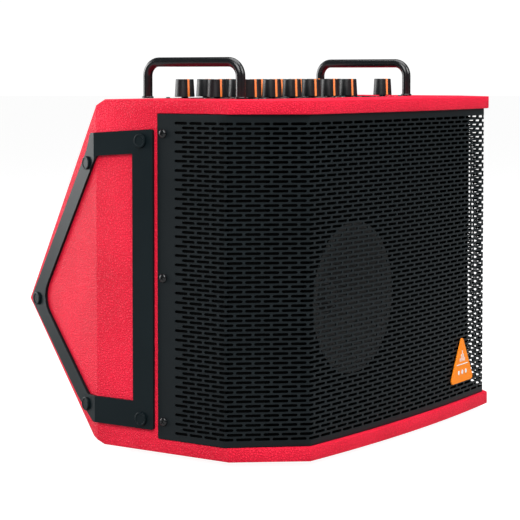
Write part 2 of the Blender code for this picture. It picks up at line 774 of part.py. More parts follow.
def build_controls(root, top_board):
    middle_y = PLATE_FRONT + PLATE_DEPTH / 2
    pocket = block(PLATE_WIDTH, PLATE_DEPTH, HEIGHT - 2 * BOARD, HEIGHT + BOARD)
    combine(top_board, cutter("plate_pocket", pocket, root, (0, middle_y, 0)))
    width, depth = PLATE_WIDTH - 2 * GAP, PLATE_DEPTH - 2 * GAP
    plate = piece(
        "control_plate", block(width, depth, -PLATE_SKIRT, 0), "powder_coat", root, (0, middle_y, HEIGHT)
    )
    hollow = block(
        width - 2 * PLATE_SHEET, depth - 2 * PLATE_SHEET, -PLATE_SKIRT - PLATE_SHEET, -PLATE_SHEET
    )
    combine(plate, cutter("plate_hollow", hollow, root, (0, middle_y, HEIGHT)))

    spots = list(knob_spots())
    holes = pegs([spot[1:] for spot in spots], SHAFT + SHAFT_CLEARANCE, -BOARD, BOARD, 12)
    combine(plate, cutter("shaft_holes", holes, root, (0, 0, HEIGHT)))
    knob = turned(
        [
            (0, -SHAFT_DROP),
            (SHAFT, -SHAFT_DROP),
            (SHAFT, GAP),
            (KNOB_COLLAR, GAP),
            (KNOB_COLLAR, KNOB_LIFT),
            (KNOB_FOOT, KNOB_LIFT),
            (KNOB_CROWN, KNOB_LIFT + KNOB_HEIGHT - KNOB_CHAMFER),
            (KNOB_CROWN - KNOB_CHAMFER, KNOB_LIFT + KNOB_HEIGHT),
            (0, KNOB_LIFT + KNOB_HEIGHT),
        ]
    )
    for name, x, y in spots:
        piece(name, knob, "black_plastic", root, (x, y, HEIGHT))

    button_x, button_y = control_spot(*BUTTON_SLOT)
    shoulder = BUTTON_RADIUS + BUTTON_SHOULDER
    button = turned(
        [
            (0, -PLATE_SHEET - BUTTON_STEM),
            (SHAFT, -PLATE_SHEET - BUTTON_STEM),
            (SHAFT, -2 * PLATE_SHEET),
            (shoulder, -2 * PLATE_SHEET),
            (shoulder, -PLATE_SHEET - GAP),
            (BUTTON_RADIUS, -PLATE_SHEET - GAP),
            (BUTTON_RADIUS, BUTTON_RISE - BUTTON_CHAMFER),
            (BUTTON_RADIUS - BUTTON_CHAMFER, BUTTON_RISE),
            (0, BUTTON_RISE),
        ],
        20,
    )
    piece("power_button", button, "black_plastic", root, (button_x, button_y, HEIGHT))
    well = pegs([(button_x, button_y)], BUTTON_RADIUS + SHAFT_CLEARANCE, -BOARD, BOARD, 20)
    combine(plate, cutter("button_well", well, root, (0, 0, HEIGHT)))
    build_jacks(root, plate)

    floor = HEIGHT - SHAFT_DROP - GAP - POT_HEIGHT
    half = PLATE_WIDTH / 2 - 2 * PLATE_SHEET
    front = KNOB_ROWS["front"] - POT_SIZE / 2 - PLATE_SHEET
    rear = KNOB_ROWS["rear"] + POT_SIZE / 2 + PLATE_SHEET
    bm = bmesh.new()
    add_prism(bm, rectangle(-half, half, front, rear), floor - PCB, floor)
    board = piece("mixer_board", mesh_of(bm), "circuit_board", root)
    bm = bmesh.new()
    reach = POT_SIZE / 2
    for _, x, y in spots:
        body = rectangle(x - reach, x + reach, y - reach, y + reach)
        add_prism(bm, body, floor - PCB / 2, floor + POT_HEIGHT)
    combine(board, cutter("pot_bodies", mesh_of(bm), root), "UNION")


def build_jacks(root, plate):
    """The strip of four input sockets, whose threaded necks come up through the plate."""
    row, columns = JACK_SLOTS
    places = [control_spot(row, column) for column in columns]
    first, last = places[0][0], places[-1][0]
    y = KNOB_ROWS[row]
    necks = pegs(places, JACK_RIM, -JACK_NECK[0], JACK_NECK[1], 12)
    bores = pegs(places, JACK_BORE, -JACK_DEPTH, BOARD, 12)
    neck_holes = pegs(places, JACK_RIM + GAP, -BOARD, BOARD, 12)
    combine(plate, cutter("neck_holes", neck_holes, root, (0, 0, HEIGHT)))
    strip = rectangle(first - POT_SIZE / 2, last + POT_SIZE / 2, y - POT_SIZE / 2, y + POT_SIZE / 2)
    bm = bmesh.new()
    floor = -SHAFT_DROP + GAP
    add_prism(bm, strip, floor, -PLATE_SHEET - GAP)
    jacks = piece("input_jack_strip", mesh_of(bm), "black_plastic", root, (0, 0, HEIGHT))
    combine(jacks, cutter("jack_necks", necks, root, (0, 0, HEIGHT)), "UNION")
    combine(jacks, cutter("jack_bores", bores, root, (0, 0, HEIGHT)))


def build_drivers(root):
    backwards = (-math.pi / 2, 0, 0)
    face = baffle_front()
    rim = -GAP - FLANGE_THICK
    wall = 0.002
    back = WOOFER_DEPTH
    throat = MAGNET_RADIUS - wall
    basket = [
        (WOOFER_FLANGE, rim),
        (WOOFER_FLANGE, -GAP),
        (WOOFER_BASKET, -GAP),
        (WOOFER_BASKET, BOARD),
        (throat, back),
        (VOICE_COIL + wall, back),
        (VOICE_COIL + wall, back - wall),
        (throat - wall, back - wall),
        (WOOFER_BASKET - 1.5 * wall, BOARD - wall),
        (WOOFER_BASKET - 1.5 * wall, rim),
    ]
    place = (0, face, WOOFER_CENTRE)
    piece("woofer_frame", turned(basket, FINE), "powder_coat", root, place, backwards)
    magnet = [
        (0, back + GAP),
        (MAGNET_RADIUS, back + GAP),
        (MAGNET_RADIUS, back + MAGNET_DEPTH),
        (0, back + MAGNET_DEPTH),
    ]
    piece("woofer_magnet", turned(magnet, FINE), "magnet", root, place, backwards)
    thin = 0.0012
    cone = [
        (0, 0.024),
        (VOICE_COIL * 0.6, 0.026),
        (VOICE_COIL, 0.034),
        (0.070, 0.001),
        (0.077, -0.002),
        (CONE_EDGE, rim + thin),
        (CONE_EDGE, rim + 2 * thin),
        (0.077, -0.002 + thin),
        (0.070, 0.001 + 2 * thin),
        (VOICE_COIL, 0.034 + 2 * thin),
        (VOICE_COIL, back - 0.005),
        (VOICE_COIL - thin, back - 0.005),
        (VOICE_COIL - thin, 0.034 + thin),
        (VOICE_COIL * 0.6, 0.026 + thin),
        (0, 0.024 + thin),
    ]
    piece("woofer_cone", turned(cone, FINE), "paper_cone", root, place, backwards)
    tweeter = [
        (0, rim + 0.002),
        (0.012, rim + 0.003),
        (0.018, rim + 0.006),
        (0.030, rim),
        (TWEETER_FLANGE, rim),
        (TWEETER_FLANGE, -GAP),
        (TWEETER_BODY, -GAP),
        (TWEETER_BODY, TWEETER_DEPTH),
        (0, TWEETER_DEPTH),
    ]
    mesh = turned(tweeter, COARSE)
    for side, sign in (("left", -1), ("right", 1)):
        place = (sign * TWEETER_SPREAD / 2, face, HEIGHT - TWEETER_BELOW_TOP)
        piece(side + "_tweeter", mesh, "black_plastic", root, place, backwards)


def build_power(root, upper_rear_board):
    floor = BOARD + GAP
    front = baffle_front() + BOARD + MODULE_BEHIND_BAFFLE
    modules = (
        ("power_amp_module", AMP_SIZE, 1, "module_case"),
        ("battery_pack", BATTERY_SIZE, -1, "battery_wrap"),
    )
    for name, (width, depth, height), sign, finish_name in modules:
        place = (sign * MODULE_SPREAD / 2, front + depth / 2, floor)
        piece(name, block(width, depth, 0, height), finish_name, root, place)

    slope = upper_rear_slope()
    panel_y = CREASE_DEPTH - UPPER_LEAD + PANEL_DOWN_SLOPE * math.cos(slope)
    panel_z = HEIGHT - PANEL_DOWN_SLOPE * math.sin(slope)
    # Its Z stands out of the upper rear face, its X runs along the cabinet, its Y points down the slope.
    mount = empty("rear_panel_frame", root, (0, panel_y, panel_z), (-slope, 0, 0))
    width, height = PANEL_SIZE
    hole = block(width - 2 * PANEL_LAP, height - 2 * PANEL_LAP, -2 * BOARD, BOARD)
    combine(upper_rear_board, cutter("panel_hole", hole, mount))
    panel = piece("rear_panel", block(width, height, GAP, GAP + PANEL_SHEET), "powder_coat", mount)
    round_edges(panel, PANEL_ROUND, 1)

    body_x, body_y = INLET_BODY
    opening = block(body_x + 2 * GAP, body_y + 2 * GAP, -BOARD, BOARD)
    combine(panel, cutter("inlet_opening", opening, mount, (INLET_OFFSET, 0, 0)))
    face = 2 * GAP + PANEL_SHEET
    flange = block(*INLET_FLANGE, 0, INLET_LIP)
    inlet = piece("power_inlet", flange, "black_plastic", mount, (INLET_OFFSET, 0, face))
    shell = block(body_x, body_y, -INLET_DEPTH, INLET_LIP / 2)
    combine(inlet, cutter("inlet_body", shell, mount, (INLET_OFFSET, 0, face)), "UNION")
    socket = block(
        body_x - 2 * INLET_WALL, body_y - 2 * INLET_WALL, INLET_WALL - INLET_DEPTH, 2 * INLET_LIP
    )
    combine(inlet, cutter("inlet_socket", socket, mount, (INLET_OFFSET, 0, face)))

    hole_x, hole_y = SWITCH_HOLE
    opening = block(hole_x, hole_y, -BOARD, BOARD)
    combine(panel, cutter("switch_opening", opening, mount, (SWITCH_OFFSET, 0, 0)))
    # The rocker's pivot runs along X, in the plane of the panel; off, it lies tilted one way.
    pivot_height = GAP + PANEL_SHEET / 2
    half_width, half_length = hole_x / 2 - SWITCH_CLEARANCE, hole_y / 2 - SWITCH_CLEARANCE
    rise = half_length * math.tan(SWITCH_TILT)
    peak = PANEL_SHEET / 2 + SWITCH_LIP
    reach = half_length * math.cos(SWITCH_TILT)
    bm = bmesh.new()
    outline = [
        (-reach, peak + rise),
        (0, peak),
        (reach, peak + rise),
        (0.6 * reach, -SWITCH_DROP),
        (-0.6 * reach, -SWITCH_DROP),
    ]
    ends = [[bm.verts.new((x, y, z)) for y, z in outline] for x in (-half_width, half_width)]
    for end in ends:
        bm.faces.new(end)
    for i in range(len(outline)):
        bm.faces.new((ends[0][i - 1], ends[0][i], ends[1][i], ends[1][i - 1]))
    rotation = (SWITCH_TILT, 0, 0)
    piece("power_switch", mesh_of(bm), "black_plastic", mount, (SWITCH_OFFSET, 0, pivot_height), rotation)


def build_feet(root):
    foot = turned(
        [
            (0, -FOOT_HEIGHT),
            (0.8 * FOOT_RADIUS, -FOOT_HEIGHT),
            (FOOT_RADIUS, -GAP),
            (0, -GAP),
        ]
    )
    for side, sign in (("left", -1), ("right", 1)):
        for end, y in (("front", FOOT_INSET), ("rear", REAR_FOOT_DEPTH)):
            place = (sign * (WIDTH / 2 - FOOT_INSET), y, 0)
            piece(f"{side}_{end}_foot", foot, "rubber", root, place)


def main():
    clear_scene()
    foremost = min(y for _, y in lid_outline())
    root = empty("amplifier", location=(0, -(foremost + APEX_DEPTH) / 2, FOOT_HEIGHT))
    boards = build_cabinet(root)
    build_baffle(root)
    build_grille(root)
    build_guards(root, boards)
    build_handles(root)
    build_controls(root, boards["top"])
    build_drivers(root)
    build_power(root, boards["upper_rear"])
    build_feet(root)


main()
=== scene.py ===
"""Looks of the portable guitar amplifier: covering, punched grille, guards, handles, knobs and trim.

Lengths are metres.  Places are given in the cabinet's own frame: X to the right seen from the front, Y back
from the grille's front fold line, Z up from the underside.  Cabinet.at turns them into the model's.
"""

import json
import logging
import math
from dataclasses import dataclass, field
from enum import Enum
from typing import Iterable, Optional, Sequence

import bmesh
import bpy
import numpy as np
from mathutils import Matrix, Vector

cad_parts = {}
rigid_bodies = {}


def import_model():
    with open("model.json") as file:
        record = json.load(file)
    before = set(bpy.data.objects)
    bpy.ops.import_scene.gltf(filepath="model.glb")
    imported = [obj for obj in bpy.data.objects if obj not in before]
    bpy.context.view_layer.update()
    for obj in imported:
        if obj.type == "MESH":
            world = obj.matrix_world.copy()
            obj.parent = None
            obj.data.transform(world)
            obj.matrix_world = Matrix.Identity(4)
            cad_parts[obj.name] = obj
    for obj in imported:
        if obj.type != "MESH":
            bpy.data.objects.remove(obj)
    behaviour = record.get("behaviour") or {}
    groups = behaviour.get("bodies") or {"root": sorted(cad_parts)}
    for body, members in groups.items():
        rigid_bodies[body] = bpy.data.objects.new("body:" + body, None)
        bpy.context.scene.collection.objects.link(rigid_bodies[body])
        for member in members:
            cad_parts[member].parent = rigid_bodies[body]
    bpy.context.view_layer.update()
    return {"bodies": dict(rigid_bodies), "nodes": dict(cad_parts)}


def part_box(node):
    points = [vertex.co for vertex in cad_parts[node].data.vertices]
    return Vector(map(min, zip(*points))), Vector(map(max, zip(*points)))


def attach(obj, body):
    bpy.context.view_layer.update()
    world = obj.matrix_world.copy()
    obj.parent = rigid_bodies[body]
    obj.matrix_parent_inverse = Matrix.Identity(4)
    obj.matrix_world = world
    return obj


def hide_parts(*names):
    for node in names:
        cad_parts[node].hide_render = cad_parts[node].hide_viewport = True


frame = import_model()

Colour = tuple[float, float, float]
Point = tuple[float, float, float]
Profile = Sequence[tuple[float, float]]
Outline = list[tuple[float, float]]

log = logging.getLogger("amplifier")


# Finishes

HOLLOW_SHADE_SHARE = 0.45  # of a finish's change of colour that follows its relief, as painted shade in the grain's hollows; broad patches of real tone make the rest
SHADE_RANGE = (0.25, 0.7)  # where the colour starts and stops changing
CROWN_SHARE = 0.6  # of a pebble's height; fine noise makes the rest


def feed(tree: bpy.types.NodeTree, node: bpy.types.Node, inputs: dict) -> None:
    """Sets a shader node's inputs.

    Args:
        tree: The tree that holds it.
        node: The node.
        inputs: What each input gets: a value, or the socket that it is linked to.
    """
    for key, value in inputs.items():
        if isinstance(value, bpy.types.NodeSocket):
            tree.links.new(value, node.inputs[key])
        else:
            node.inputs[key].default_value = value


def wire(tree: bpy.types.NodeTree, kind: str, inputs: dict, **settings: str) -> bpy.types.Node:
    """Adds a shader node.

    Args:
        tree: Where it goes.
        kind: Its type, without the prefix that every shader node has.
        inputs: What each input gets, as in feed.
        settings: Its own properties.

    Returns:
        The node.
    """
    node = tree.nodes.new("ShaderNode" + kind)
    for key, value in settings.items():
        setattr(node, key, value)
    feed(tree, node, inputs)
    return node


class Grain(Enum):
    """The relief that a finish has under the fingers."""

    PEBBLE = "pebble"
    SPECKLE = "speckle"
    FIBRE = "fibre"
    BRUSHED = "brushed"


@dataclass(frozen=True)
class Finish:
    """A surface finish, whose material is made from procedural nodes."""

    name: str
    colour: Colour
    shade: Colour  # what the colour varies towards: painted shade in the relief's hollows, and real tone in broad patches
    rough: tuple[float, float]
    grain: Grain = Grain.SPECKLE
    grain_size: float = 0.0006
    relief: float = 0.00004
    patch_size: float = 0.05
    metallic: float = 0.0
    specular: float = 0.5

    def material(self) -> bpy.types.Material:
        """Makes the material once, and returns the same one afterwards.

        Returns:
            The material that carries this finish.
        """
        made = bpy.data.materials.get(self.name)
        if made:
            return made
        made = bpy.data.materials.new(self.name)
        made.use_nodes = True
        made.diffuse_color = (*self.colour, 1)
        tree = made.node_tree
        place = wire(tree, "TexCoord", {}).outputs["Object"]
        # The relief's height bends the normals and also darkens the colour in its hollows: painted shade
        height = self._height(tree, place)
        patches = self._noise(tree, place, 1 / self.patch_size, 3)
        scaled = wire(tree, "Math", {0: patches, 1: 1 - HOLLOW_SHADE_SHARE}, operation="MULTIPLY")
        both = wire(tree, "Math", {0: height, 1: HOLLOW_SHADE_SHARE, 2: scaled.outputs[0]}, operation="MULTIPLY_ADD")
        ramp = wire(tree, "ValToRGB", {"Fac": both.outputs[0]})
        for stop, position, colour in zip(ramp.color_ramp.elements, SHADE_RANGE, (self.shade, self.colour)):
            stop.position, stop.color = position, (*colour, 1)
        spread = wire(tree, "MapRange", {"Value": patches, "To Min": self.rough[0], "To Max": self.rough[1]})
        bump = wire(tree, "Bump", {"Strength": 1.0, "Distance": self.relief, "Height": height})
        dressing = {
            "Metallic": self.metallic,
            "Specular IOR Level": self.specular,
            "Base Color": ramp.outputs["Color"],
            "Roughness": spread.outputs["Result"],
            "Normal": bump.outputs["Normal"],
        }
        feed(tree, tree.nodes["Principled BSDF"], dressing)
        return made

    def _noise(
        self, tree: bpy.types.NodeTree, place: bpy.types.NodeSocket, scale: float, detail: float
    ) -> bpy.types.NodeSocket:
        """Adds a noise texture.

        Args:
            tree: The material's node tree.
            place: The coordinates that it reads.
            scale: Features for each metre.
            detail: How many finer layers it has.

        Returns:
            The socket of its value, from 0 to 1.
        """
        return wire(tree, "TexNoise", {"Scale": scale, "Detail": detail, "Vector": place}).outputs["Fac"]

    def _height(self, tree: bpy.types.NodeTree, place: bpy.types.NodeSocket) -> bpy.types.NodeSocket:
        """Adds the nodes of the grain's relief.

        Args:
            tree: The material's node tree.
            place: The coordinates that they read.

        Returns:
            The socket of the height, from 0 in the hollows to 1 on the crests.
        """
        if self.grain is Grain.PEBBLE:
            return self._pebbles(tree, place)
        if self.grain in (Grain.BRUSHED, Grain.FIBRE):
            stretch = (0.08, 1, 1) if self.grain is Grain.BRUSHED else (1, 1, 0.3)
            place = wire(tree, "Mapping", {"Scale": stretch, "Vector": place}).outputs["Vector"]
        return self._noise(tree, place, 1 / self.grain_size, 4)

    def _pebbles(self, tree: bpy.types.NodeTree, place: bpy.types.NodeSocket) -> bpy.types.NodeSocket:
        """Adds leatherette's pebbles: rounded cells, pulled out of shape by a broad noise.

        Args:
            tree: The material's node tree.
            place: The coordinates that they read.

        Returns:
            The socket of the height.
        """
        size = self.grain_size
        warp = wire(tree, "TexNoise", {"Scale": 0.6 / size, "Vector": place}).outputs["Color"]
        pull = wire(tree, "VectorMath", {0: warp, 1: (size,) * 3, 2: place}, operation="MULTIPLY_ADD")
        lattice = {"Scale": 1 / size, "Vector": pull.outputs["Vector"]}
        edge = wire(tree, "TexVoronoi", lattice, feature="DISTANCE_TO_EDGE").outputs["Distance"]
        crown = wire(tree, "MapRange", {"From Max": 0.32, "Value": edge}, interpolation_type="SMOOTHSTEP")
        fine = self._noise(tree, place, 1.6 / size, 3)
        share = wire(tree, "Math", {0: fine, 1: 1 - CROWN_SHARE}, operation="MULTIPLY")
        mix = {0: crown.outputs["Result"], 1: CROWN_SHARE, 2: share.outputs[0]}
        return wire(tree, "Math", mix, operation="MULTIPLY_ADD").outputs[0]


LEATHERETTE = Finish(
    "red_leatherette", (0.98, 0.019, 0.060), (0.64, 0.006, 0.028), (0.42, 0.6),
    Grain.PEBBLE, 0.0024, 0.00075, 0.09, specular=0.14,
)
POWDER_COAT = Finish(
    "black_powder_coat", (0.0055, 0.0115, 0.0140), (0.004, 0.0085, 0.0105), (0.32, 0.42),
    relief=0.00002, specular=0.12,
)
GRILLE_COAT = Finish(
    "grille_powder_coat", (0.0065, 0.0105, 0.0125), (0.0045, 0.0075, 0.009), (0.40, 0.52),
    relief=0.00002, specular=0.18,
)
GLOSS_TUBE = Finish(
    "gloss_black_tube", (0.006, 0.007, 0.008), (0.004, 0.005, 0.006), (0.2, 0.28), relief=0.00001
)
KNOB_PLASTIC = Finish(
    "knob_plastic", (0.009, 0.0105, 0.012), (0.006, 0.007, 0.008), (0.34, 0.44), relief=0.00002, specular=0.3
)
MARKER = Finish("orange_marker", (0.9, 0.235, 0.035), (0.82, 0.19, 0.025), (0.4, 0.5), relief=0.00001)
BADGE_ORANGE = Finish(
    "badge_orange", (1.0, 0.27, 0.008), (0.95, 0.24, 0.007), (0.4, 0.5), relief=0.00001, specular=0.15
)
PRINT_WHITE = Finish("print_white", (0.86, 0.86, 0.84), (0.76, 0.76, 0.74), (0.45, 0.55), relief=0.00001)
BLACK_SCREW = Finish("black_screw", (0.008, 0.009, 0.01), (0.005, 0.006, 0.007), (0.16, 0.26), relief=0.00001)
NICKEL = Finish(
    "nickel_plate", (0.66, 0.65, 0.62), (0.5, 0.49, 0.47), (0.2, 0.34),
    Grain.BRUSHED, 0.0004, 0.00001, metallic=1.0,
)
# Black paint, darkened well below real paint so that the baffle, driver frames and lining read as the shade
# inside the cabinet: partly painted shade
BLACK_BOARD_AND_SHADE = Finish(
    "black_board_and_painted_shade", (0.0022, 0.0022, 0.0022), (0.0012, 0.0012, 0.0012), (0.85, 0.95),
    Grain.FIBRE, 0.002, specular=0.03,
)
RUBBER = Finish("foot_rubber", (0.02, 0.02, 0.021), (0.012, 0.012, 0.013), (0.75, 0.9), specular=0.25)
# Black paper cone, darkened well below real paper so that it reads as the shade behind the grille: partly
# painted shade
PAPER_AND_SHADE = Finish(
    "paper_cone", (0.0026, 0.0026, 0.0026), (0.0014, 0.0014, 0.0014), (0.9, 0.98),
    Grain.FIBRE, 0.0012, 0.0001, specular=0.03,
)
MAGNET = Finish("ferrite", (0.03, 0.031, 0.034), (0.018, 0.018, 0.02), (0.5, 0.7), metallic=0.3)
CIRCUIT = Finish("circuit_board", (0.012, 0.09, 0.035), (0.008, 0.06, 0.024), (0.4, 0.55), relief=0.00003)
CASE = Finish(
    "module_case", (0.42, 0.43, 0.44), (0.34, 0.35, 0.36), (0.35, 0.5),
    Grain.BRUSHED, 0.0006, 0.00002, metallic=0.9,
)
WRAP = Finish("battery_wrap", (0.02, 0.04, 0.12), (0.012, 0.026, 0.08), (0.4, 0.5))
SOCKET_PLASTIC = Finish(
    "socket_plastic", (0.014, 0.014, 0.015), (0.009, 0.009, 0.01), (0.42, 0.55), relief=0.00003
)


# Mesh work


def new_object(name: str, mesh: bpy.types.Mesh, *finishes: Finish) -> bpy.types.Object:
    """Puts a mesh in the scene.

    Args:
        name: The piece's name.
        mesh: Its mesh.
        finishes: Its finishes, in the order of its faces' material numbers.

    Returns:
        The object, at the origin.
    """
    made = bpy.data.objects.new(name, mesh)
    if not mesh.materials:
        for finish in finishes:
            mesh.materials.append(finish.material())
    bpy.context.scene.collection.objects.link(made)
    return made


def settle(
    piece: bpy.types.Object, body: str, nodes: Iterable[str] = (), sharp: Optional[float] = None
) -> None:
    """Hands a finished piece to the frame.

    Args:
        piece: The piece, in place.
        body: The body that carries it.
        nodes: The solids that it stands for.
        sharp: The angle over which its edges stay sharp, in degrees, if it is to be shaded smooth.
    """
    if sharp is not None:
        piece.data.shade_smooth()
        piece.data.set_sharp_from_angle(angle=math.radians(sharp))
    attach(piece, body)
    if nodes:
        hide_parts(*nodes)
    log.info("%s rides on %s", piece.name, body)


def mesh_from(bm: bmesh.types.BMesh, name: str) -> bpy.types.Mesh:
    """The mesh that bm holds, its faces pointing out.

    Args:
        bm: The faces, which this frees.
        name: The mesh's name.

    Returns:
        The mesh.
    """
    bmesh.ops.recalc_face_normals(bm, faces=bm.faces)
    mesh = bpy.data.meshes.new(name)
    bm.to_mesh(mesh)
    bm.free()
    return mesh


def add_prism(bm: bmesh.types.BMesh, outline: Profile, low: float, high: float) -> None:
    """Adds a plan outline standing from low to high.

    Args:
        bm: Where it goes.
        outline: Its (x, y) corners.
        low: The height of its floor.
        high: The height of its roof.
    """
    floor = [bm.verts.new((x, y, low)) for x, y in outline]
    roof = [bm.verts.new((x, y, high)) for x, y in outline]
    bm.faces.new(floor)
    bm.faces.new(roof)
    for i in range(len(outline)):
        bm.faces.new((floor[i - 1], floor[i], roof[i], roof[i - 1]))


def add_turned(
    bm: bmesh.types.BMesh, profile: Profile, steps: int, centre: Point = (0.0, 0.0, 0.0), material: int = 0
) -> None:
    """Adds a (radius, height) profile spun about Z.

    Args:
        bm: Where it goes.
        profile: Its points; it closes on itself where it starts off the axis.
        steps: Facets round the turn.
        centre: The turn's origin.
        material: The material number of its faces.
    """
    before = set(bm.faces)
    spun = [bm.verts.new((centre[0] + r, centre[1], centre[2] + z)) for r, z in profile]
    edges = [bm.edges.new(pair) for pair in zip(spun, spun[1:])]
    if profile[0][0] > 0:
        edges.append(bm.edges.new((spun[-1], spun[0])))
    whole = {"cent": centre, "axis": (0, 0, 1), "angle": math.tau, "steps": steps}
    bmesh.ops.spin(bm, geom=spun + edges, use_merge=True, **whole)
    bmesh.ops.remove_doubles(bm, verts=bm.verts, dist=1e-7)
    for face in set(bm.faces) - before:
        face.material_index = material


def turned(profile: Profile, steps: int, name: str) -> bpy.types.Mesh:
    """The mesh of one spun profile.

    Args:
        profile: Its (radius, height) points.
        steps: Facets round the turn.
        name: The mesh's name.

    Returns:
        The mesh.
    """
    bm = bmesh.new()
    add_turned(bm, profile, steps)
    return mesh_from(bm, name)


def rounded_outline(width: float, depth: float, radius: float, steps: int = 4) -> Outline:
    """A rectangle with round corners, about the origin.

    Args:
        width: Its size along X.
        depth: Its size along Y.
        radius: Its corners' radius.
        steps: Facets in each corner.

    Returns:
        Its corners, anticlockwise.
    """
    points = []
    for quarter, (sx, sy) in enumerate(((1, 1), (-1, 1), (-1, -1), (1, -1))):
        for step in range(steps + 1):
            angle = math.pi / 2 * (quarter + step / steps)
            x = sx * (width / 2 - radius) + radius * math.cos(angle)
            points.append((x, sy * (depth / 2 - radius) + radius * math.sin(angle)))
    return points


def rectangle(left: float, right: float, front: float, rear: float) -> Outline:
    """A rectangle's corners, anticlockwise from the front left."""
    return [(left, front), (right, front), (right, rear), (left, rear)]


def moved(outline: Profile, x: float, y: float) -> Outline:
    """An outline shifted by x and y."""
    return [(x + px, y + py) for px, py in outline]


def circle(radius: float, count: int) -> Outline:
    """The corners of a regular polygon about the origin."""
    angles = [math.tau * k / count for k in range(count)]
    return [(radius * math.cos(angle), radius * math.sin(angle)) for angle in angles]


def cut(target: bpy.types.Object, mesh: bpy.types.Mesh, matrix: Matrix = Matrix.Identity(4)) -> None:
    """Takes a solid away from a piece, for good.

    Args:
        target: The piece.
        mesh: The solid that is taken away.
        matrix: Where that solid stands.
    """
    helper = bpy.data.objects.new("helper", mesh)
    helper.matrix_world = matrix
    bpy.context.scene.collection.objects.link(helper)
    modifier = target.modifiers.new("cut", "BOOLEAN")
    modifier.object, modifier.operation, modifier.solver = helper, "DIFFERENCE", "EXACT"
    freeze(target)
    bpy.data.objects.remove(helper)


def soften(target: bpy.types.Object, width: float, segments: int = 2, over: float = 40) -> None:
    """Rounds a piece's sharp edges, for good.

    Args:
        target: The piece.
        width: How far the rounding reaches.
        segments: Its facets.
        over: The least angle of an edge that is rounded, in degrees.
    """
    modifier = target.modifiers.new("rounding", "BEVEL")
    modifier.width, modifier.segments = width, segments
    modifier.limit_method, modifier.angle_limit = "ANGLE", math.radians(over)
    freeze(target)


def freeze(target: bpy.types.Object) -> None:
    """Replaces a piece's mesh by what its modifiers make of it.

    Args:
        target: The piece.
    """
    bpy.context.view_layer.update()
    graph = bpy.context.evaluated_depsgraph_get()
    mesh = bpy.data.meshes.new_from_object(target.evaluated_get(graph), depsgraph=graph)
    target.modifiers.clear()
    target.data = mesh


def keep_inside(bm: bmesh.types.BMesh, planes: Iterable[tuple[Vector, Vector]]) -> None:
    """Trims a solid to the inner side of planes and closes what that opens.

    Args:
        bm: The solid.
        planes: Each plane's point and outward normal.
    """
    for point, normal in planes:
        everything = bm.verts[:] + bm.edges[:] + bm.faces[:]
        bmesh.ops.bisect_plane(bm, geom=everything, plane_co=point, plane_no=normal, clear_outer=True)
        opened = [edge for edge in bm.edges if edge.is_boundary]
        if opened:
            bmesh.ops.holes_fill(bm, edges=opened)


def dress(node: str, finish: Finish, rounding: float = 0.0) -> None:
    """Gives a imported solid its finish, and takes the edge off it.

    Args:
        node: The solid's name.
        finish: Its finish.
        rounding: How far its edges are rounded; 0 leaves them.
    """
    solid = frame["nodes"][node]
    solid.data.materials.clear()
    solid.data.materials.append(finish.material())
    if rounding:
        solid.modifiers.new("joined", "WELD").merge_threshold = 1e-5
        modifier = solid.modifiers.new("rounding", "BEVEL")
        modifier.width, modifier.segments = rounding, 2
        modifier.limit_method, modifier.angle_limit = "ANGLE", math.radians(40)
    log.info("%s is dressed in %s", node, finish.name)


# The cabinet


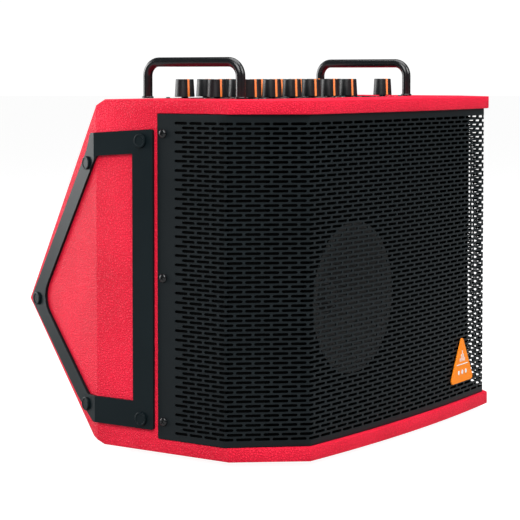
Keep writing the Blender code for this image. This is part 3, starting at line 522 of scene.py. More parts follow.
@dataclass(frozen=True)
class Cabinet:
    """The cabinet's own frame and outer planes, which every sub-assembly lines up with."""

    front: float
    floor: float
    width: float
    height: float
    board: float = 0.014
    face_width: float = 0.3746
    face_bow: float = 0.008
    chamfer_depth: float = 0.0647
    wing_length: float = 0.084
    crease_depth: float = 0.2287
    apex_depth: float = 0.3725
    apex_height: float = 0.1368
    apex_width: float = 0.3688
    upper_lead: float = 0.0045  # the upper rear face starts this far in front of the crease
    sheet: float = 0.0012

    @classmethod
    def from_frame(cls) -> "Cabinet":
        """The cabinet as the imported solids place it."""
        grille, low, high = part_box("front_grille"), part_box("bottom_board")[0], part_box("top_board")[1]
        return cls(grille[0].y + cls.face_bow, low.z, grille[1].x - grille[0].x, high.z - low.z)

    @property
    def half(self) -> float:
        """Half of the width."""
        return self.width / 2

    @property
    def wing_end(self) -> float:
        """Where the grille's side wings end."""
        return self.chamfer_depth + self.wing_length

    def at(self, x: float, y: float, z: float) -> Vector:
        """A point of the cabinet's frame, in the model's."""
        return Vector((x, y + self.front, z + self.floor))

    def place(self) -> Matrix:
        """The cabinet's frame as a matrix."""
        return Matrix.Translation((0, self.front, self.floor))

    def turn(self) -> float:
        """How far the rear cheeks turn in from the sides."""
        return math.atan2((self.width - self.apex_width) / 2, self.apex_depth - self.crease_depth)

    def plane(self, a: Point, b: Point, c: Point) -> tuple[Vector, Vector]:
        """The plane through three points of the cabinet.

        Args:
            a: One point.
            b: Another.
            c: The third.

        Returns:
            The first point and the normal that points out.
        """
        normal = (Vector(b) - Vector(a)).cross(Vector(c) - Vector(a)).normalized()
        middle = Vector((0, self.crease_depth / 2, self.height / 2))
        return Vector(a), -normal if normal.dot(middle - Vector(a)) > 0 else normal

    def rear_planes(self) -> list[tuple[Vector, Vector]]:
        """The planes of the wedge's back.

        Returns:
            Each one's point and outward normal: both cheeks, the upper rear face, the lower rear face.
        """
        half, narrow, crease = self.half, self.apex_width / 2, self.crease_depth
        left, right = ((x, self.apex_depth, self.apex_height) for x in (-narrow, narrow))
        return [
            self.plane((-half, crease, self.height), (-half, crease, 0), left),
            self.plane((half, crease, self.height), (half, crease, 0), right),
            self.plane((-half, crease - self.upper_lead, self.height), left, right),
            self.plane((-half, crease, 0), left, right),
        ]

    def bowed(self, half_width: float, depth: float, bow: float, count: int = 24) -> Outline:
        """Points of an arc that bulges forward.

        Args:
            half_width: Half of its chord.
            depth: Y of its ends.
            bow: How far it bulges.
            count: Its facets.

        Returns:
            Its points from left to right.
        """
        radius = (half_width**2 + bow**2) / (2 * bow)
        spread = math.asin(half_width / radius)
        angles = [spread * (2 * i / count - 1) for i in range(count + 1)]
        return [(radius * math.sin(a), depth + radius - bow - radius * math.cos(a)) for a in angles]


@dataclass(frozen=True)
class Covering:
    """The leatherette that wraps the boards: one skin with round edges, open at the front."""

    cabinet: Cabinet
    lip_across: float = 0.0048
    lip_front: float = 0.0036
    lip_side: float = 0.0044
    lip_bow: float = 0.010
    rounding: float = 0.0038
    rear_softening: float = 0.0035
    lip_rounding: float = 0.0014
    pocket: tuple[float, float, float] = (0.314, 0.084, 0.129)
    panel_hole: tuple[float, float] = (0.134, 0.048)
    panel_down_slope: float = 0.100
    shade_strip: tuple[float, float] = (0.045, 0.0815)  # where the painted-shade strip behind the angled faces starts and ends
    lining_gap: float = 0.0002
    lining_stop: float = 0.0008  # what the upright dark linings, partly painted shade, leave free above and below
    lining_inset: float = 0.004

    def outline(self) -> Outline:
        """Plan of the lids, carried straight on backwards."""
        cab = self.cabinet
        arc = cab.bowed(cab.face_width / 2 + self.lip_across, -self.lip_front, self.lip_bow)
        corner, back = cab.chamfer_depth - self.lip_side, cab.apex_depth + cab.board
        return arc + [(cab.half, corner), (cab.half, back), (-cab.half, back), (-cab.half, corner)]

    def hull(self) -> bpy.types.Mesh:
        """Makes the outer skin.

        Returns:
            One solid with its edges rounded.
        """
        cab = self.cabinet
        bm = bmesh.new()
        add_prism(bm, self.outline(), 0, cab.height)
        bmesh.ops.recalc_face_normals(bm, faces=bm.faces)
        planes = cab.rear_planes()
        for rear, lid in ((planes[2], Vector((0, 0, 1))), (planes[3], Vector((0, 0, -1)))):
            between = (rear[1] + lid).normalized()
            planes.append((rear[0] - between * self.rear_softening, between))
        keep_inside(bm, planes)
        edges = [e for e in bm.edges if len(e.link_faces) == 2 and e.calc_face_angle(0) > math.radians(14)]
        bmesh.ops.bevel(
            bm, geom=edges, offset=self.rounding, offset_type="OFFSET", segments=4, profile=0.5,
            affect="EDGES", clamp_overlap=True,
        )
        return mesh_from(bm, "covering")

    def hollow(self) -> bpy.types.Mesh:
        """Makes the room inside the boards, open to the front.

        Returns:
            It as a solid, to be cut away.
        """
        cab = self.cabinet
        bm = bmesh.new()
        low, high, wall = cab.board, cab.height - cab.board, cab.half - cab.board
        deep = cab.wing_end + cab.board
        add_prism(bm, rectangle(-wall, wall, deep, 1), low, high)
        bmesh.ops.recalc_face_normals(bm, faces=bm.faces)
        keep_inside(bm, [(point - normal * cab.board, normal) for point, normal in cab.rear_planes()])
        return mesh_from(bm, "hollow")

    def box(self, width: float, front: float, rear: float, low: float, high: float) -> bpy.types.Mesh:
        """A box about X = 0, as a mesh."""
        bm = bmesh.new()
        add_prism(bm, rectangle(-width / 2, width / 2, front, rear), low, high)
        return mesh_from(bm, "box")

    def panel_matrix(self) -> Matrix:
        """The rear panel's frame: Z stands out of the upper rear face and Y points down the slope."""
        cab = self.cabinet
        start, down = cab.crease_depth - cab.upper_lead, self.panel_down_slope
        slope = math.atan2(cab.height - cab.apex_height, cab.apex_depth - start)
        middle = (0, start + down * math.cos(slope), cab.height - down * math.sin(slope))
        return Matrix.Translation(middle) @ Matrix.Rotation(-slope, 4, "X")

    def build(self) -> None:
        """Makes the covering."""
        cab = self.cabinet
        piece = new_object("cabinet_covering", self.hull(), LEATHERETTE)
        low, high = cab.board, cab.height - cab.board
        cut(piece, self.box(1, -1, cab.wing_end, low, high))
        within, depth = cab.width - 2 * cab.board, cab.wing_end - cab.board
        cut(piece, self.box(within, depth, depth + 3 * cab.board, low, high))
        cut(piece, self.hollow())
        width, front, depth = self.pocket
        cut(piece, self.box(width, front, front + depth, high - cab.board, cab.height + cab.board))
        cut(piece, self.box(self.panel_hole[0], -self.panel_hole[1] / 2, self.panel_hole[1] / 2, -0.03, 0.01),
            self.panel_matrix())
        soften(piece, self.lip_rounding, 2, 62)
        piece.data.transform(cab.place())
        boards = ["top_board", "bottom_board", "upper_rear_board", "lower_rear_board"]
        boards += [side + end for side in ("left", "right") for end in ("_side_board", "_rear_cheek")]
        settle(piece, "root", boards, 32)

    def build_shade_lining(self) -> None:
        """Makes the dark lining behind the grille: the cheeks by its wings stand for black board, while the
        strips behind its angled faces, the floor and the roof are dark sheets of painted shade.
        """
        cab, skin = self.cabinet, self.cabinet.sheet + 0.0004
        low, high = cab.board, cab.height - cab.board
        bm = bmesh.new()
        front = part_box("baffle_board")[1].y - cab.front + 0.0004
        for sign in (-1, 1):
            near, far = sign * (cab.half - skin), sign * (cab.half - cab.board)
            end = cab.wing_end - self.lining_gap
            outline = [(near, front), (near, end), (far, end), (far, front)]
            add_prism(bm, outline, low + self.lining_stop, high - self.lining_stop)
            # A dark strip behind the angled face, where there is only shade inside: painted shade
            along = Vector((cab.half - cab.face_width / 2, cab.chamfer_depth)).normalized()
            start, end = (Vector((cab.face_width / 2, 0)) + along * reach for reach in self.shade_strip)
            inward = Vector((-along.y, along.x)) * skin
            strip = [start + inward, end + inward, end + inward * 2, start + inward * 2]
            add_prism(bm, [(sign * p.x, p.y) for p in strip], low + self.lining_stop, high - self.lining_stop)
        # Dark floor and roof sheets over the lids' inner faces: painted shade
        inset, gap = self.lining_inset, self.lining_gap
        inner, outer = cab.face_width / 2 - inset, cab.half - inset
        floor = [(-inner, inset), (inner, inset), (outer, cab.chamfer_depth), (-outer, cab.chamfer_depth)]
        add_prism(bm, floor, low + gap, low + 3 * gap)
        add_prism(bm, floor, high - 3 * gap, high - gap)
        piece = new_object("grille_shade_lining", mesh_from(bm, "chamber"), BLACK_BOARD_AND_SHADE)
        piece.data.transform(cab.place())
        settle(piece, "root")


@dataclass(frozen=True)
class Grille:
    """The folded steel sheet with its rows of slots, and the screws in its wings."""

    cabinet: Cabinet
    rows: int = 67
    row_pitch: float = 0.004767
    top_row: float = 0.3367
    slot_height: float = 0.0029
    land: float = 0.0023
    pitches: tuple[float, float, float] = (0.0190, 0.01834, 0.0182)  # front, angled faces, wings
    columns: int = 18  # to each side of the middle
    bend: float = 0.0025
    screw_depth: float = 0.1413
    screw_heights: tuple[float, ...] = (0.3258, 0.1791, 0.0323)

    def path(self) -> tuple[np.ndarray, np.ndarray, list[float]]:
        """The sheet's outer surface in plan, with its folds rounded.

        Returns:
            The points, how far along the sheet each lies from the middle, and where the folds' roundings
            begin, peak and end.
        """
        cab = self.cabinet
        corners = [(-cab.half, cab.wing_end), (-cab.half, cab.chamfer_depth)]
        arc = cab.bowed(cab.face_width / 2, 0, cab.face_bow, 60)
        corners += [arc[0], arc[-1], (cab.half, cab.chamfer_depth), (cab.half, cab.wing_end)]
        points = [Vector(corners[0])]
        marks: list[int] = []
        run = [Vector(p) for p in [corners[0], corners[1], *arc, corners[4], corners[5]]]
        folds = {1, 2, 2 + 60, 3 + 60}
        for i in range(1, len(run) - 1):
            if i not in folds:
                points.append(run[i])
                continue
            into, out = (run[i - 1] - run[i]).normalized(), (run[i + 1] - run[i]).normalized()
            angle = into.angle(-out)
            reach = self.bend * math.tan(angle / 2)
            start, end = run[i] + into * reach, run[i] + out * reach
            centre = run[i] + (into + out).normalized() * (self.bend / math.cos(angle / 2))
            marks.append(len(points))
            for step in range(7):
                spoke = (start - centre).lerp(end - centre, step / 6).normalized()
                points.append(centre + spoke * self.bend)
            marks += [len(points) - 4, len(points) - 1]
        points.append(run[-1])
        places = np.array([tuple(p) for p in points])
        along = np.concatenate([[0], np.cumsum(np.hypot(*np.diff(places, axis=0).T))])
        along -= along[-1] / 2
        return places, along, [float(along[i]) for i in marks]

    def stations(self) -> np.ndarray:
        """Spaces the columns of slots along the sheet.

        Returns:
            Where each half column begins, from the left to the right.
        """
        cab = self.cabinet
        front = cab.face_width / 2
        chamfer = math.hypot(cab.half - front, cab.chamfer_depth)
        first = math.floor(front / self.pitches[0]) + 1
        turn = front + (first - front / self.pitches[0]) * self.pitches[1]
        second = first + math.floor((front + chamfer - turn) / self.pitches[1]) + 1
        fold = front + chamfer
        wing = fold + self.pitches[2] * (second - first - (fold - turn) / self.pitches[1])
        columns = [0, front / self.pitches[0], second - (wing - fold) / self.pitches[2], self.columns]
        places = [0, front, fold, wing + (self.columns - second) * self.pitches[2]]
        halves = np.arange(-2 * self.columns, 2 * self.columns + 1) / 2
        return np.sign(halves) * np.interp(np.abs(halves), columns, places)

    def slot(self, left: float, right: float, z: float) -> Outline:
        """The 12 corners of a round-ended slot.

        Args:
            left: The bar's middle on its left.
            right: The bar's middle on its right.
            z: The slot's height on the sheet.

        Returns:
            Its corners, from the bottom right, anticlockwise.
        """
        radius = self.slot_height / 2
        middle, reach = (left + right) / 2, (right - left - self.land) / 2 - radius
        corners = []
        for sign, start in ((1, -90), (-1, 90)):
            for step in range(6):
                angle = math.radians(start + 36 * step)
                corners.append((middle + sign * reach + radius * math.cos(angle), z + radius * math.sin(angle)))
        return corners

    def flat(self) -> tuple[Outline, list[tuple[int, ...]]]:
        """Lays out the punched sheet before it is folded.

        Returns:
            Points along and up it, and the faces that join them without gaps.
        """
        cab = self.cabinet
        _, along, _ = self.path()
        edges = np.concatenate([[along[0]], self.stations(), [along[-1]]])
        low, high = cab.board + 0.0003, cab.height - cab.board - 0.0003
        levels = [high] + [self.top_row - self.row_pitch * (j - 0.5) for j in range(self.rows + 1)] + [low]
        wide = len(edges)
        points = [(float(s), float(z)) for z in levels for s in edges]
        faces: list[tuple[int, ...]] = []

        def grid(column: int, level: int) -> int:
            """The number of a grid point."""
            return level * wide + column

        def plain(column: int, level: int) -> None:
            """Adds an unpunched cell below a level, from a column to the next."""
            below, above = ([grid(column + k, level + down) for k in (0, 1)] for down in (1, 0))
            faces.append((*below, *reversed(above)))

        for column in range(wide - 1):
            plain(column, 0)
            plain(column, self.rows + 1)
        for row in range(self.rows):
            level = row + 1
            first = 1 + row % 2
            for column in list(range(first)) + list(range(wide - 1 - first, wide - 1)):
                plain(column, level)
            for column in range(first, wide - 1 - first, 2):
                c1, c2, c3 = (grid(column + k, level + 1) for k in range(3))
                c6, c5, c4 = (grid(column + k, level) for k in range(3))
                left, right = float(edges[column]), float(edges[column + 2])
                corners = self.slot(left, right, self.top_row - self.row_pitch * row)
                r = range(len(points), len(points) + 12)
                points += corners
                faces += [
                    (c1, c2, c3, r[0], r[11]),
                    (c3, r[1], r[0]), (c3, r[2], r[1]),
                    (c3, c4, r[3], r[2]), (c4, r[4], r[3]), (c4, r[5], r[4]),
                    (c4, c5, c6, r[6], r[5]),
                    (c6, r[7], r[6]), (c6, r[8], r[7]),
                    (c6, c1, r[9], r[8]), (c1, r[10], r[9]), (c1, r[11], r[10]),
                ]
        return points, faces

    def build(self) -> None:
        """Makes the punched and folded sheet."""
        cab = self.cabinet
        points, faces = self.flat()
        mesh = bpy.data.meshes.new("grille")
        mesh.from_pydata([(s, 0, z) for s, z in points], [], faces)
        bm = bmesh.new()
        bm.from_mesh(mesh)
        places, along, marks = self.path()
        for mark in marks:
            near = [v for v in bm.verts if abs(v.co.x - mark) < 0.03]
            cells = {face for vert in near for face in vert.link_faces}
            geometry = list(cells | {e for f in cells for e in f.edges} | {v for f in cells for v in f.verts})
            bmesh.ops.bisect_plane(bm, geom=geometry, dist=1e-7, plane_co=(mark, 0, 0), plane_no=(1, 0, 0))
        bm.to_mesh(mesh)
        bm.free()
        flat = np.empty(len(mesh.vertices) * 3)
        mesh.vertices.foreach_get("co", flat)
        flat = flat.reshape(-1, 3)
        flat[:, 1] = np.interp(flat[:, 0], along, places[:, 1]) + cab.front
        flat[:, 0] = np.interp(flat[:, 0], along, places[:, 0])
        flat[:, 2] += cab.floor
        mesh.vertices.foreach_set("co", flat.ravel())
        mesh.update()
        piece = new_object("front_grille_punched", mesh, GRILLE_COAT)
        thick = piece.modifiers.new("thickness", "SOLIDIFY")
        thick.thickness, thick.offset, thick.use_even_offset = cab.sheet, -1, True
        freeze(piece)
        settle(piece, "root", ["front_grille"], 30)

    def build_screws(self, screw: "Screw") -> None:
        """Puts the screws into the grille's wings.

        Args:
            screw: The kind of screw.
        """
        mesh = screw.mesh("grille_screw")
        for side, sign in (("left", -1), ("right", 1)):
            for number, height in enumerate(self.screw_heights, 1):
                spot = self.cabinet.at(sign * (self.cabinet.half + 0.0001), self.screw_depth, height)
                turn = Matrix.Rotation(sign * math.pi / 2, 4, "Y") @ Matrix.Rotation(0.35 * number, 4, "Z")
                piece = new_object(f"{side}_grille_screw_{number}", mesh, BLACK_SCREW)
                piece.matrix_world = Matrix.Translation(spot) @ turn
                settle(piece, "root")


@dataclass(frozen=True)
class Screw:
    """A pan-head screw with a cross recess."""

    radius: float = 0.0046
    height: float = 0.0026
    arm: float = 0.0026
    slit: float = 0.0008
    steps: int = 40

    def mesh(self, name: str) -> bpy.types.Mesh:
        """Makes the head, its Z standing out of what it holds.

        Args:
            name: The mesh's name.

        Returns:
            The mesh.
        """
        dome = [(0, 0), (self.radius, 0)]
        for step in range(1, 8):
            angle = math.pi / 2 * step / 7
            dome.append((self.radius * math.cos(angle) ** 0.55, self.height * math.sin(angle) ** 0.8))
        dome[-1] = (0, self.height)
        piece = new_object(name, turned(dome, self.steps, name), BLACK_SCREW)
        bm = bmesh.new()
        outline = []
        for quarter in range(4):
            turn = Matrix.Rotation(math.pi / 2 * quarter, 2)
            corners = ((self.slit / 2, self.slit / 2), (self.arm, self.slit / 2), (self.arm, -self.slit / 2))
            outline += [tuple(turn @ Vector(corner)) for corner in reversed(corners)]
        add_prism(bm, outline, self.height * 0.35, self.height * 2)
        cut(piece, mesh_from(bm, "cross"))
        made = piece.data
        bpy.data.objects.remove(piece)
        made.shade_smooth()
        made.set_sharp_from_angle(angle=math.radians(35))
        return made


@dataclass(frozen=True)
class Guards:
    """The steel straps on the sides and the bolts that hold them."""

    cabinet: Cabinet
    radius: float = 0.0071
    head: float = 0.0024
    rim: float = 0.0007
    dish: float = 0.0006
    strap_rounding: float = 0.0005
    spots: tuple[str, ...] = ("front_upper", "front_lower", "rear_upper", "rear_lower", "apex")

    def outward(self, spot: str, sign: int) -> Vector:
        """Which way a bolt points.

        Args:
            spot: The bolt's place on the guard.
            sign: -1 on the left, 1 on the right.

        Returns:
            The direction out of the side or the cheek.
        """
        turn = 0.0 if spot.startswith("front") else self.cabinet.turn()
        return Vector((sign * math.cos(turn), math.sin(turn), 0))

    def bolt_mesh(self) -> bpy.types.Mesh:
        """A flat head with a rounded rim and a shallow dish."""
        r, h, rim = self.radius, self.head, self.rim
        profile = [(0, 0), (r, 0), (r, h - rim)]
        profile += [(r - rim * (1 - math.cos(a)), h - rim + rim * math.sin(a)) for a in (0.5, 1.0, 1.45)]
        profile += [(r - 2.2 * rim, h), (r - 3 * rim, h - self.dish), (0, h - self.dish)]
        return turned(profile, 48, "guard_bolt")

    def build(self) -> None:
        """Dresses the straps and makes the bolts."""
        mesh = self.bolt_mesh()
        for side, sign in (("left", -1), ("right", 1)):
            dress(side + "_side_guard", POWDER_COAT, self.strap_rounding)
            for spot in self.spots:
                node = f"{side}_guard_bolt_{spot}"
                way = self.outward(spot, sign)
                corners = [vert.co.copy() for vert in frame["nodes"][node].data.vertices]
                top = max(corner.dot(way) for corner in corners)
                cap = [corner for corner in corners if corner.dot(way) > top - 1e-5]
                middle = sum(cap, Vector()) / len(cap)
                seat = middle - way * 0.0034
                piece = new_object(node + "_head", mesh, POWDER_COAT)
                turn = way.to_track_quat("Z", "Y").to_matrix().to_4x4()
                piece.matrix_world = Matrix.Translation(seat) @ turn
                settle(piece, "root", [node], 30)


@dataclass(frozen=True)
class Handles:
    """The two bent tubes on the top, each standing in two collars."""

    tube: float = 0.005
    collar: float = 0.0062
    collar_height: float = 0.002
    bend: float = 0.015
    steps: int = 12
    sides: int = 28

    def build(self) -> None:
        """Makes both handles where their solids stand."""
        for side in ("left", "right"):
            low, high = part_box(side + "_handle")
            x = (low.x + high.x) / 2
            front, rear, top = low.y + self.collar, high.y - self.collar, high.z - self.tube - self.bend
            path = [Vector((x, front, low.z))]
            for y, start in ((front + self.bend, math.pi), (rear - self.bend, math.pi / 2)):
                for step in range(self.steps + 1):
                    angle = start - math.pi / 2 * step / self.steps
                    path.append(Vector((x, y + self.bend * math.cos(angle), top + self.bend * math.sin(angle))))
            path.append(Vector((x, rear, low.z)))
            bm = bmesh.new()
            self.sweep(bm, path)
            for y in (front, rear):
                rise, r = self.collar_height, self.collar
                collar = [(0, 0), (r, 0), (r, rise - 0.0006), (r - 0.0005, rise), (0, rise)]
                add_turned(bm, collar, self.sides, (x, y, low.z))
            piece = new_object(side + "_handle_tube", mesh_from(bm, side + "_handle"), GLOSS_TUBE)
            settle(piece, "root", [side + "_handle"], 35)

    def sweep(self, bm: bmesh.types.BMesh, path: Sequence[Vector]) -> None:
        """Adds a round tube along a path that lies across X.

        Args:
            bm: Where it goes.
            path: Its middle line.
        """
        rings = []
        for i, point in enumerate(path):
            ahead = (path[min(i + 1, len(path) - 1)] - path[max(i - 1, 0)]).normalized()
            across = Vector((1, 0, 0))
            up = ahead.cross(across)
            ring = []
            for right, high in circle(self.tube, self.sides):
                ring.append(bm.verts.new(point + across * right + up * high))
            rings.append(ring)
        for a, b in zip(rings, rings[1:]):
            for k in range(self.sides):
                bm.faces.new((a[k - 1], a[k], b[k], b[k - 1]))
        bm.faces.new(rings[0])
        bm.faces.new(rings[-1])


@dataclass(frozen=True)
class Knobs:
    """The tapered knobs with their orange pointers, and the button beside them."""

    foot: float = 0.01075
    crown: float = 0.00965
    lift: float = 0.0014
    height: float = 0.0190
    collar: float = 0.0037
    shaft: float = 0.003
    drop: float = 0.016
    edge: float = 0.0007
    stripe: float = 0.0022
    proud: float = 0.00025
    rest_turn: float = math.radians(30)
    steps: int = 56

    def outer(self) -> Outline:
        """The knob's side and top.

        Returns:
            Their profile, from the foot to the middle of the top.
        """
        top = self.lift + self.height
        side = [(self.foot - 0.0004, self.lift), (self.foot, self.lift + 0.0004)]
        for step in range(5):
            angle = math.pi / 2 * step / 4
            fall, rise = self.edge * (1 - math.cos(angle)), self.edge * (1 - math.sin(angle))
            side.append((self.crown - fall, top - rise))
        return side + [(self.crown * 0.78, top), (self.crown * 0.70, top - 0.0004), (0, top - 0.0004)]

    def mesh(self) -> bpy.types.Mesh:
        """One knob on its shaft, its pointer turned to the start of its travel.

        Returns:
            The mesh, with the pointer's faces on the second material.
        """
        bm = bmesh.new()
        shaft = [(0, -self.drop), (self.shaft, -self.drop), (self.shaft, 0.0003)]
        shaft += [(self.collar, 0.0003), (self.collar, self.lift)]
        add_turned(bm, shaft + self.outer(), self.steps)
        outer = self.outer()[1:-3]
        lean = self.proud * 0.7
        skin = moved(outer[:2], self.proud, 0) + moved(outer[2:], lean, lean)
        skin += [(self.crown * 0.70, skin[-1][1]), (0.001, skin[-1][1])]
        buried = [(r - 0.001, max(z - 0.001, self.lift + 0.0004)) for r, z in skin[:-2]]
        buried += [(self.crown * 0.70 - 0.001, skin[-1][1] - 0.002), (0.001, skin[-1][1] - 0.002)]
        half = self.stripe / 2
        before = set(bm.faces)
        strips = [
            [[bm.verts.new((x, -r, z)) for r, z in line] for line in (skin, buried)] for x in (-half, half)
        ]
        for i in range(len(skin) - 1):
            (a, b), (c, d) = strips
            bm.faces.new((a[i], a[i + 1], c[i + 1], c[i]))
            bm.faces.new((b[i], d[i], d[i + 1], b[i + 1]))
            bm.faces.new((a[i], b[i], b[i + 1], a[i + 1]))
            bm.faces.new((c[i], c[i + 1], d[i + 1], d[i]))
        for end in (0, -1):
            bm.faces.new((strips[0][0][end], strips[1][0][end], strips[1][1][end], strips[0][1][end]))
        for face in set(bm.faces) - before:
            face.material_index = 1
        bmesh.ops.rotate(bm, verts=bm.verts, cent=(0, 0, 0), matrix=Matrix.Rotation(-self.rest_turn, 3, "Z"))
        return mesh_from(bm, "knob")

    def build(self, plate_top: float) -> list[Vector]:
        """Makes every knob on its own body.

        Args:
            plate_top: The height of the plate that they stand on.

        Returns:
            Each knob's place.
        """
        mesh = self.mesh()
        spots = []
        for body in frame["bodies"]:
            if "_knob_" not in body:
                continue
            low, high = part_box(body)
            place = Vector(((low.x + high.x) / 2, (low.y + high.y) / 2, plate_top))
            piece = new_object(body + "_cap", mesh, KNOB_PLASTIC, MARKER)
            piece.location = place
            settle(piece, body, [body], 40)
            spots.append(place)
        return spots

    def build_button(self, plate_top: float) -> None:
        """Makes the push button with its ring.

        Args:
            plate_top: The height of the plate that it comes through.
        """
        low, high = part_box("power_button")
        r, rise = (high.x - low.x) / 2 - 0.0015, high.z - plate_top
        profile = [(0, -0.010), (0.003, -0.010), (0.003, -0.004), (r + 0.0015, -0.004)]
        profile += [(r + 0.0015, -0.0023), (r, -0.0023), (r, rise - 0.0009), (r - 0.0003, rise - 0.0003)]
        profile += [(r - 0.001, rise), (r * 0.6, rise - 0.0003), (0, rise - 0.0006)]
        bm = bmesh.new()
        add_turned(bm, profile, 40)
        add_turned(bm, rectangle(r * 0.34, r * 0.46, rise - 0.001, rise - 0.0003), 32, material=1)
        piece = new_object("power_button_cap", mesh_from(bm, "button"), KNOB_PLASTIC, PRINT_WHITE)
        piece.location = ((low.x + high.x) / 2, (low.y + high.y) / 2, plate_top)
        settle(piece, "power_button", ["power_button"], 35)


@dataclass(frozen=True)
class TopPanel:
    """The control plate: its dial marks, jack nuts and small screws."""

    plate_top: float
    mark_reach: tuple[float, float] = (0.0128, 0.0146)
    mark_width: float = 0.0006
    print_height: float = 0.0001
    jack_bore: float = 0.0067
    washer: tuple[float, float] = (0.0093, 0.0004)  # radius and height
    nut: tuple[float, float] = (0.0092, 0.0019)
    jack_margin: float = 0.008  # from the strip's end to the first jack
    screw_inset: float = 0.007

    def mark(self, bm: bmesh.types.BMesh, spot: Vector, angle: float, length: float) -> None:
        """Adds one dial mark.

        Args:
            bm: Where it goes.
            spot: The dial's middle.
            angle: Its direction in plan, from +X.
            length: How far out it starts and ends beyond the short marks.
        """
        along = Vector((math.cos(angle), math.sin(angle), 0))
        across = Vector((-along.y, along.x, 0)) * (self.mark_width / 2)
        near, far = spot + along * self.mark_reach[0], spot + along * (self.mark_reach[1] + length)
        outline = [near - across, far - across, far + across, near + across]
        low, high = self.plate_top - 0.0003, self.plate_top + self.print_height
        add_prism(bm, [(p.x, p.y) for p in outline], low, high)

    def build_marks(self, spots: Sequence[Vector]) -> None:
        """Prints eleven marks round each knob.

        Args:
            spots: Each knob's place.
        """
        bm = bmesh.new()
        for spot in spots:
            for step in range(11):
                angle = math.radians(240 - 30 * step)
                self.mark(bm, spot, angle, 0.0009 if step % 5 == 0 else 0.0)
        piece = new_object("dial_marks", mesh_from(bm, "marks"), PRINT_WHITE)
        settle(piece, "root")

    def build_nuts(self) -> None:
        """Puts a washer and a six-sided nut round each input jack's neck."""
        low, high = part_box("input_jack_strip")
        pitch = (high.x - low.x - 2 * self.jack_margin) / 3
        y = (low.y + high.y) / 2
        bm = bmesh.new()
        add_turned(bm, rectangle(self.jack_bore, self.washer[0], 0, self.washer[1]), 40)
        for z, up in ((self.washer[1], False), (self.nut[1], True)):
            outer = [bm.verts.new((*corner, z)) for corner in circle(self.nut[0], 6)]
            inner = [bm.verts.new((*corner, z)) for corner in circle(self.jack_bore, 24)]
            for k in range(6):
                fan = inner[4 * k : 4 * k + 4] + [inner[(4 * k + 4) % 24]]
                bm.faces.new([outer[k]] + [outer[(k + 1) % 6]] + fan[::-1])
            if up:
                for a, b, size in ((below[0], outer, 6), (below[1], inner, 24)):
                    for k in range(size):
                        bm.faces.new((a[k - 1], a[k], b[k], b[k - 1]))
            below = (outer, inner)
        mesh = mesh_from(bm, "jack_nut")
        for number in range(4):
            piece = new_object(f"jack_nut_{number + 1}", mesh, NICKEL)
            piece.location = (low.x + self.jack_margin + pitch * number, y, self.plate_top)
            piece.rotation_euler = (0, 0, 0.3 * number)
            settle(piece, "root", sharp=30)

    def build(self, spots: Sequence[Vector], screw: Screw) -> None:
        """Dresses the plate and adds what is on it.

        Args:
            spots: Each knob's place.
            screw: The kind of screw that holds the plate.
        """
        dress("control_plate", POWDER_COAT)
        dress("input_jack_strip", SOCKET_PLASTIC)
        dress("mixer_board", CIRCUIT)
        self.build_marks(spots)
        self.build_nuts()
        low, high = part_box("control_plate")
        mesh = screw.mesh("plate_screw")
        number = 0
        for x in (low.x + self.screw_inset, 0.0, high.x - self.screw_inset):
            for y in (low.y + self.screw_inset, high.y - self.screw_inset):
                number += 1
                piece = new_object(f"plate_screw_{number}", mesh, BLACK_SCREW)
                piece.location = (x, y, self.plate_top)
                settle(piece, "root")


@dataclass(frozen=True)
class Badge:
    """The triangular badge on the grille and its plain printed emblem."""

    cabinet: Cabinet
    across: float = 0.124
    bars: tuple[float, ...] = (0.004, 0.0085, 0.0125, 0.0085, 0.004)
    bar_width: float = 0.0014
    bar_gap: float = 0.0030
    line_up: float = 0.0205
    bars_over_line: float = 0.0032
    dots: tuple[float, ...] = (-0.0095, 0.0, 0.0095)
    dot_up: float = 0.0115
    dot: float = 0.0050
    line: tuple[float, float] = (0.030, 0.0011)
    print_reach: tuple[float, float] = (-0.0002, 0.0002)  # into the badge and out of it

    def build(self) -> None:
        """Dresses the badge and prints an emblem of sound bars over a line."""
        dress("grille_badge", BADGE_ORANGE, 0.0003)
        low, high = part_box("grille_badge")
        cab = self.cabinet
        bow = ((cab.face_width / 2) ** 2 + cab.face_bow**2) / (2 * cab.face_bow)
        lean = math.asin(self.across / bow)
        corners = [vert.co.copy() for vert in frame["nodes"]["grille_badge"].data.vertices]
        way = Vector((math.sin(lean), -math.cos(lean), 0))
        face = max(corner.dot(way) for corner in corners)
        middle = Vector(((low.x + high.x) / 2, (low.y + high.y) / 2, low.z))
        middle += way * (face - middle.dot(way))
        bm = bmesh.new()
        for number, tall in enumerate(self.bars):
            x = (number - 2) * self.bar_gap
            bar = rounded_outline(self.bar_width, tall, 0.0006)
            up = self.line_up + self.bars_over_line + tall / 2
            add_prism(bm, moved(bar, x, up), *self.print_reach)
        add_prism(bm, moved(rounded_outline(*self.line, 0.0005), 0, self.line_up), *self.print_reach)
        for x in self.dots:
            dot = rounded_outline(self.dot, self.dot, 0.48 * self.dot, 6)
            add_prism(bm, moved(dot, x, self.dot_up), *self.print_reach)
        piece = new_object("badge_emblem", mesh_from(bm, "emblem"), PRINT_WHITE)
        upright = Matrix.Rotation(lean, 4, "Z") @ Matrix.Rotation(math.pi / 2, 4, "X")
        piece.matrix_world = Matrix.Translation(middle) @ upright
        settle(piece, "root")


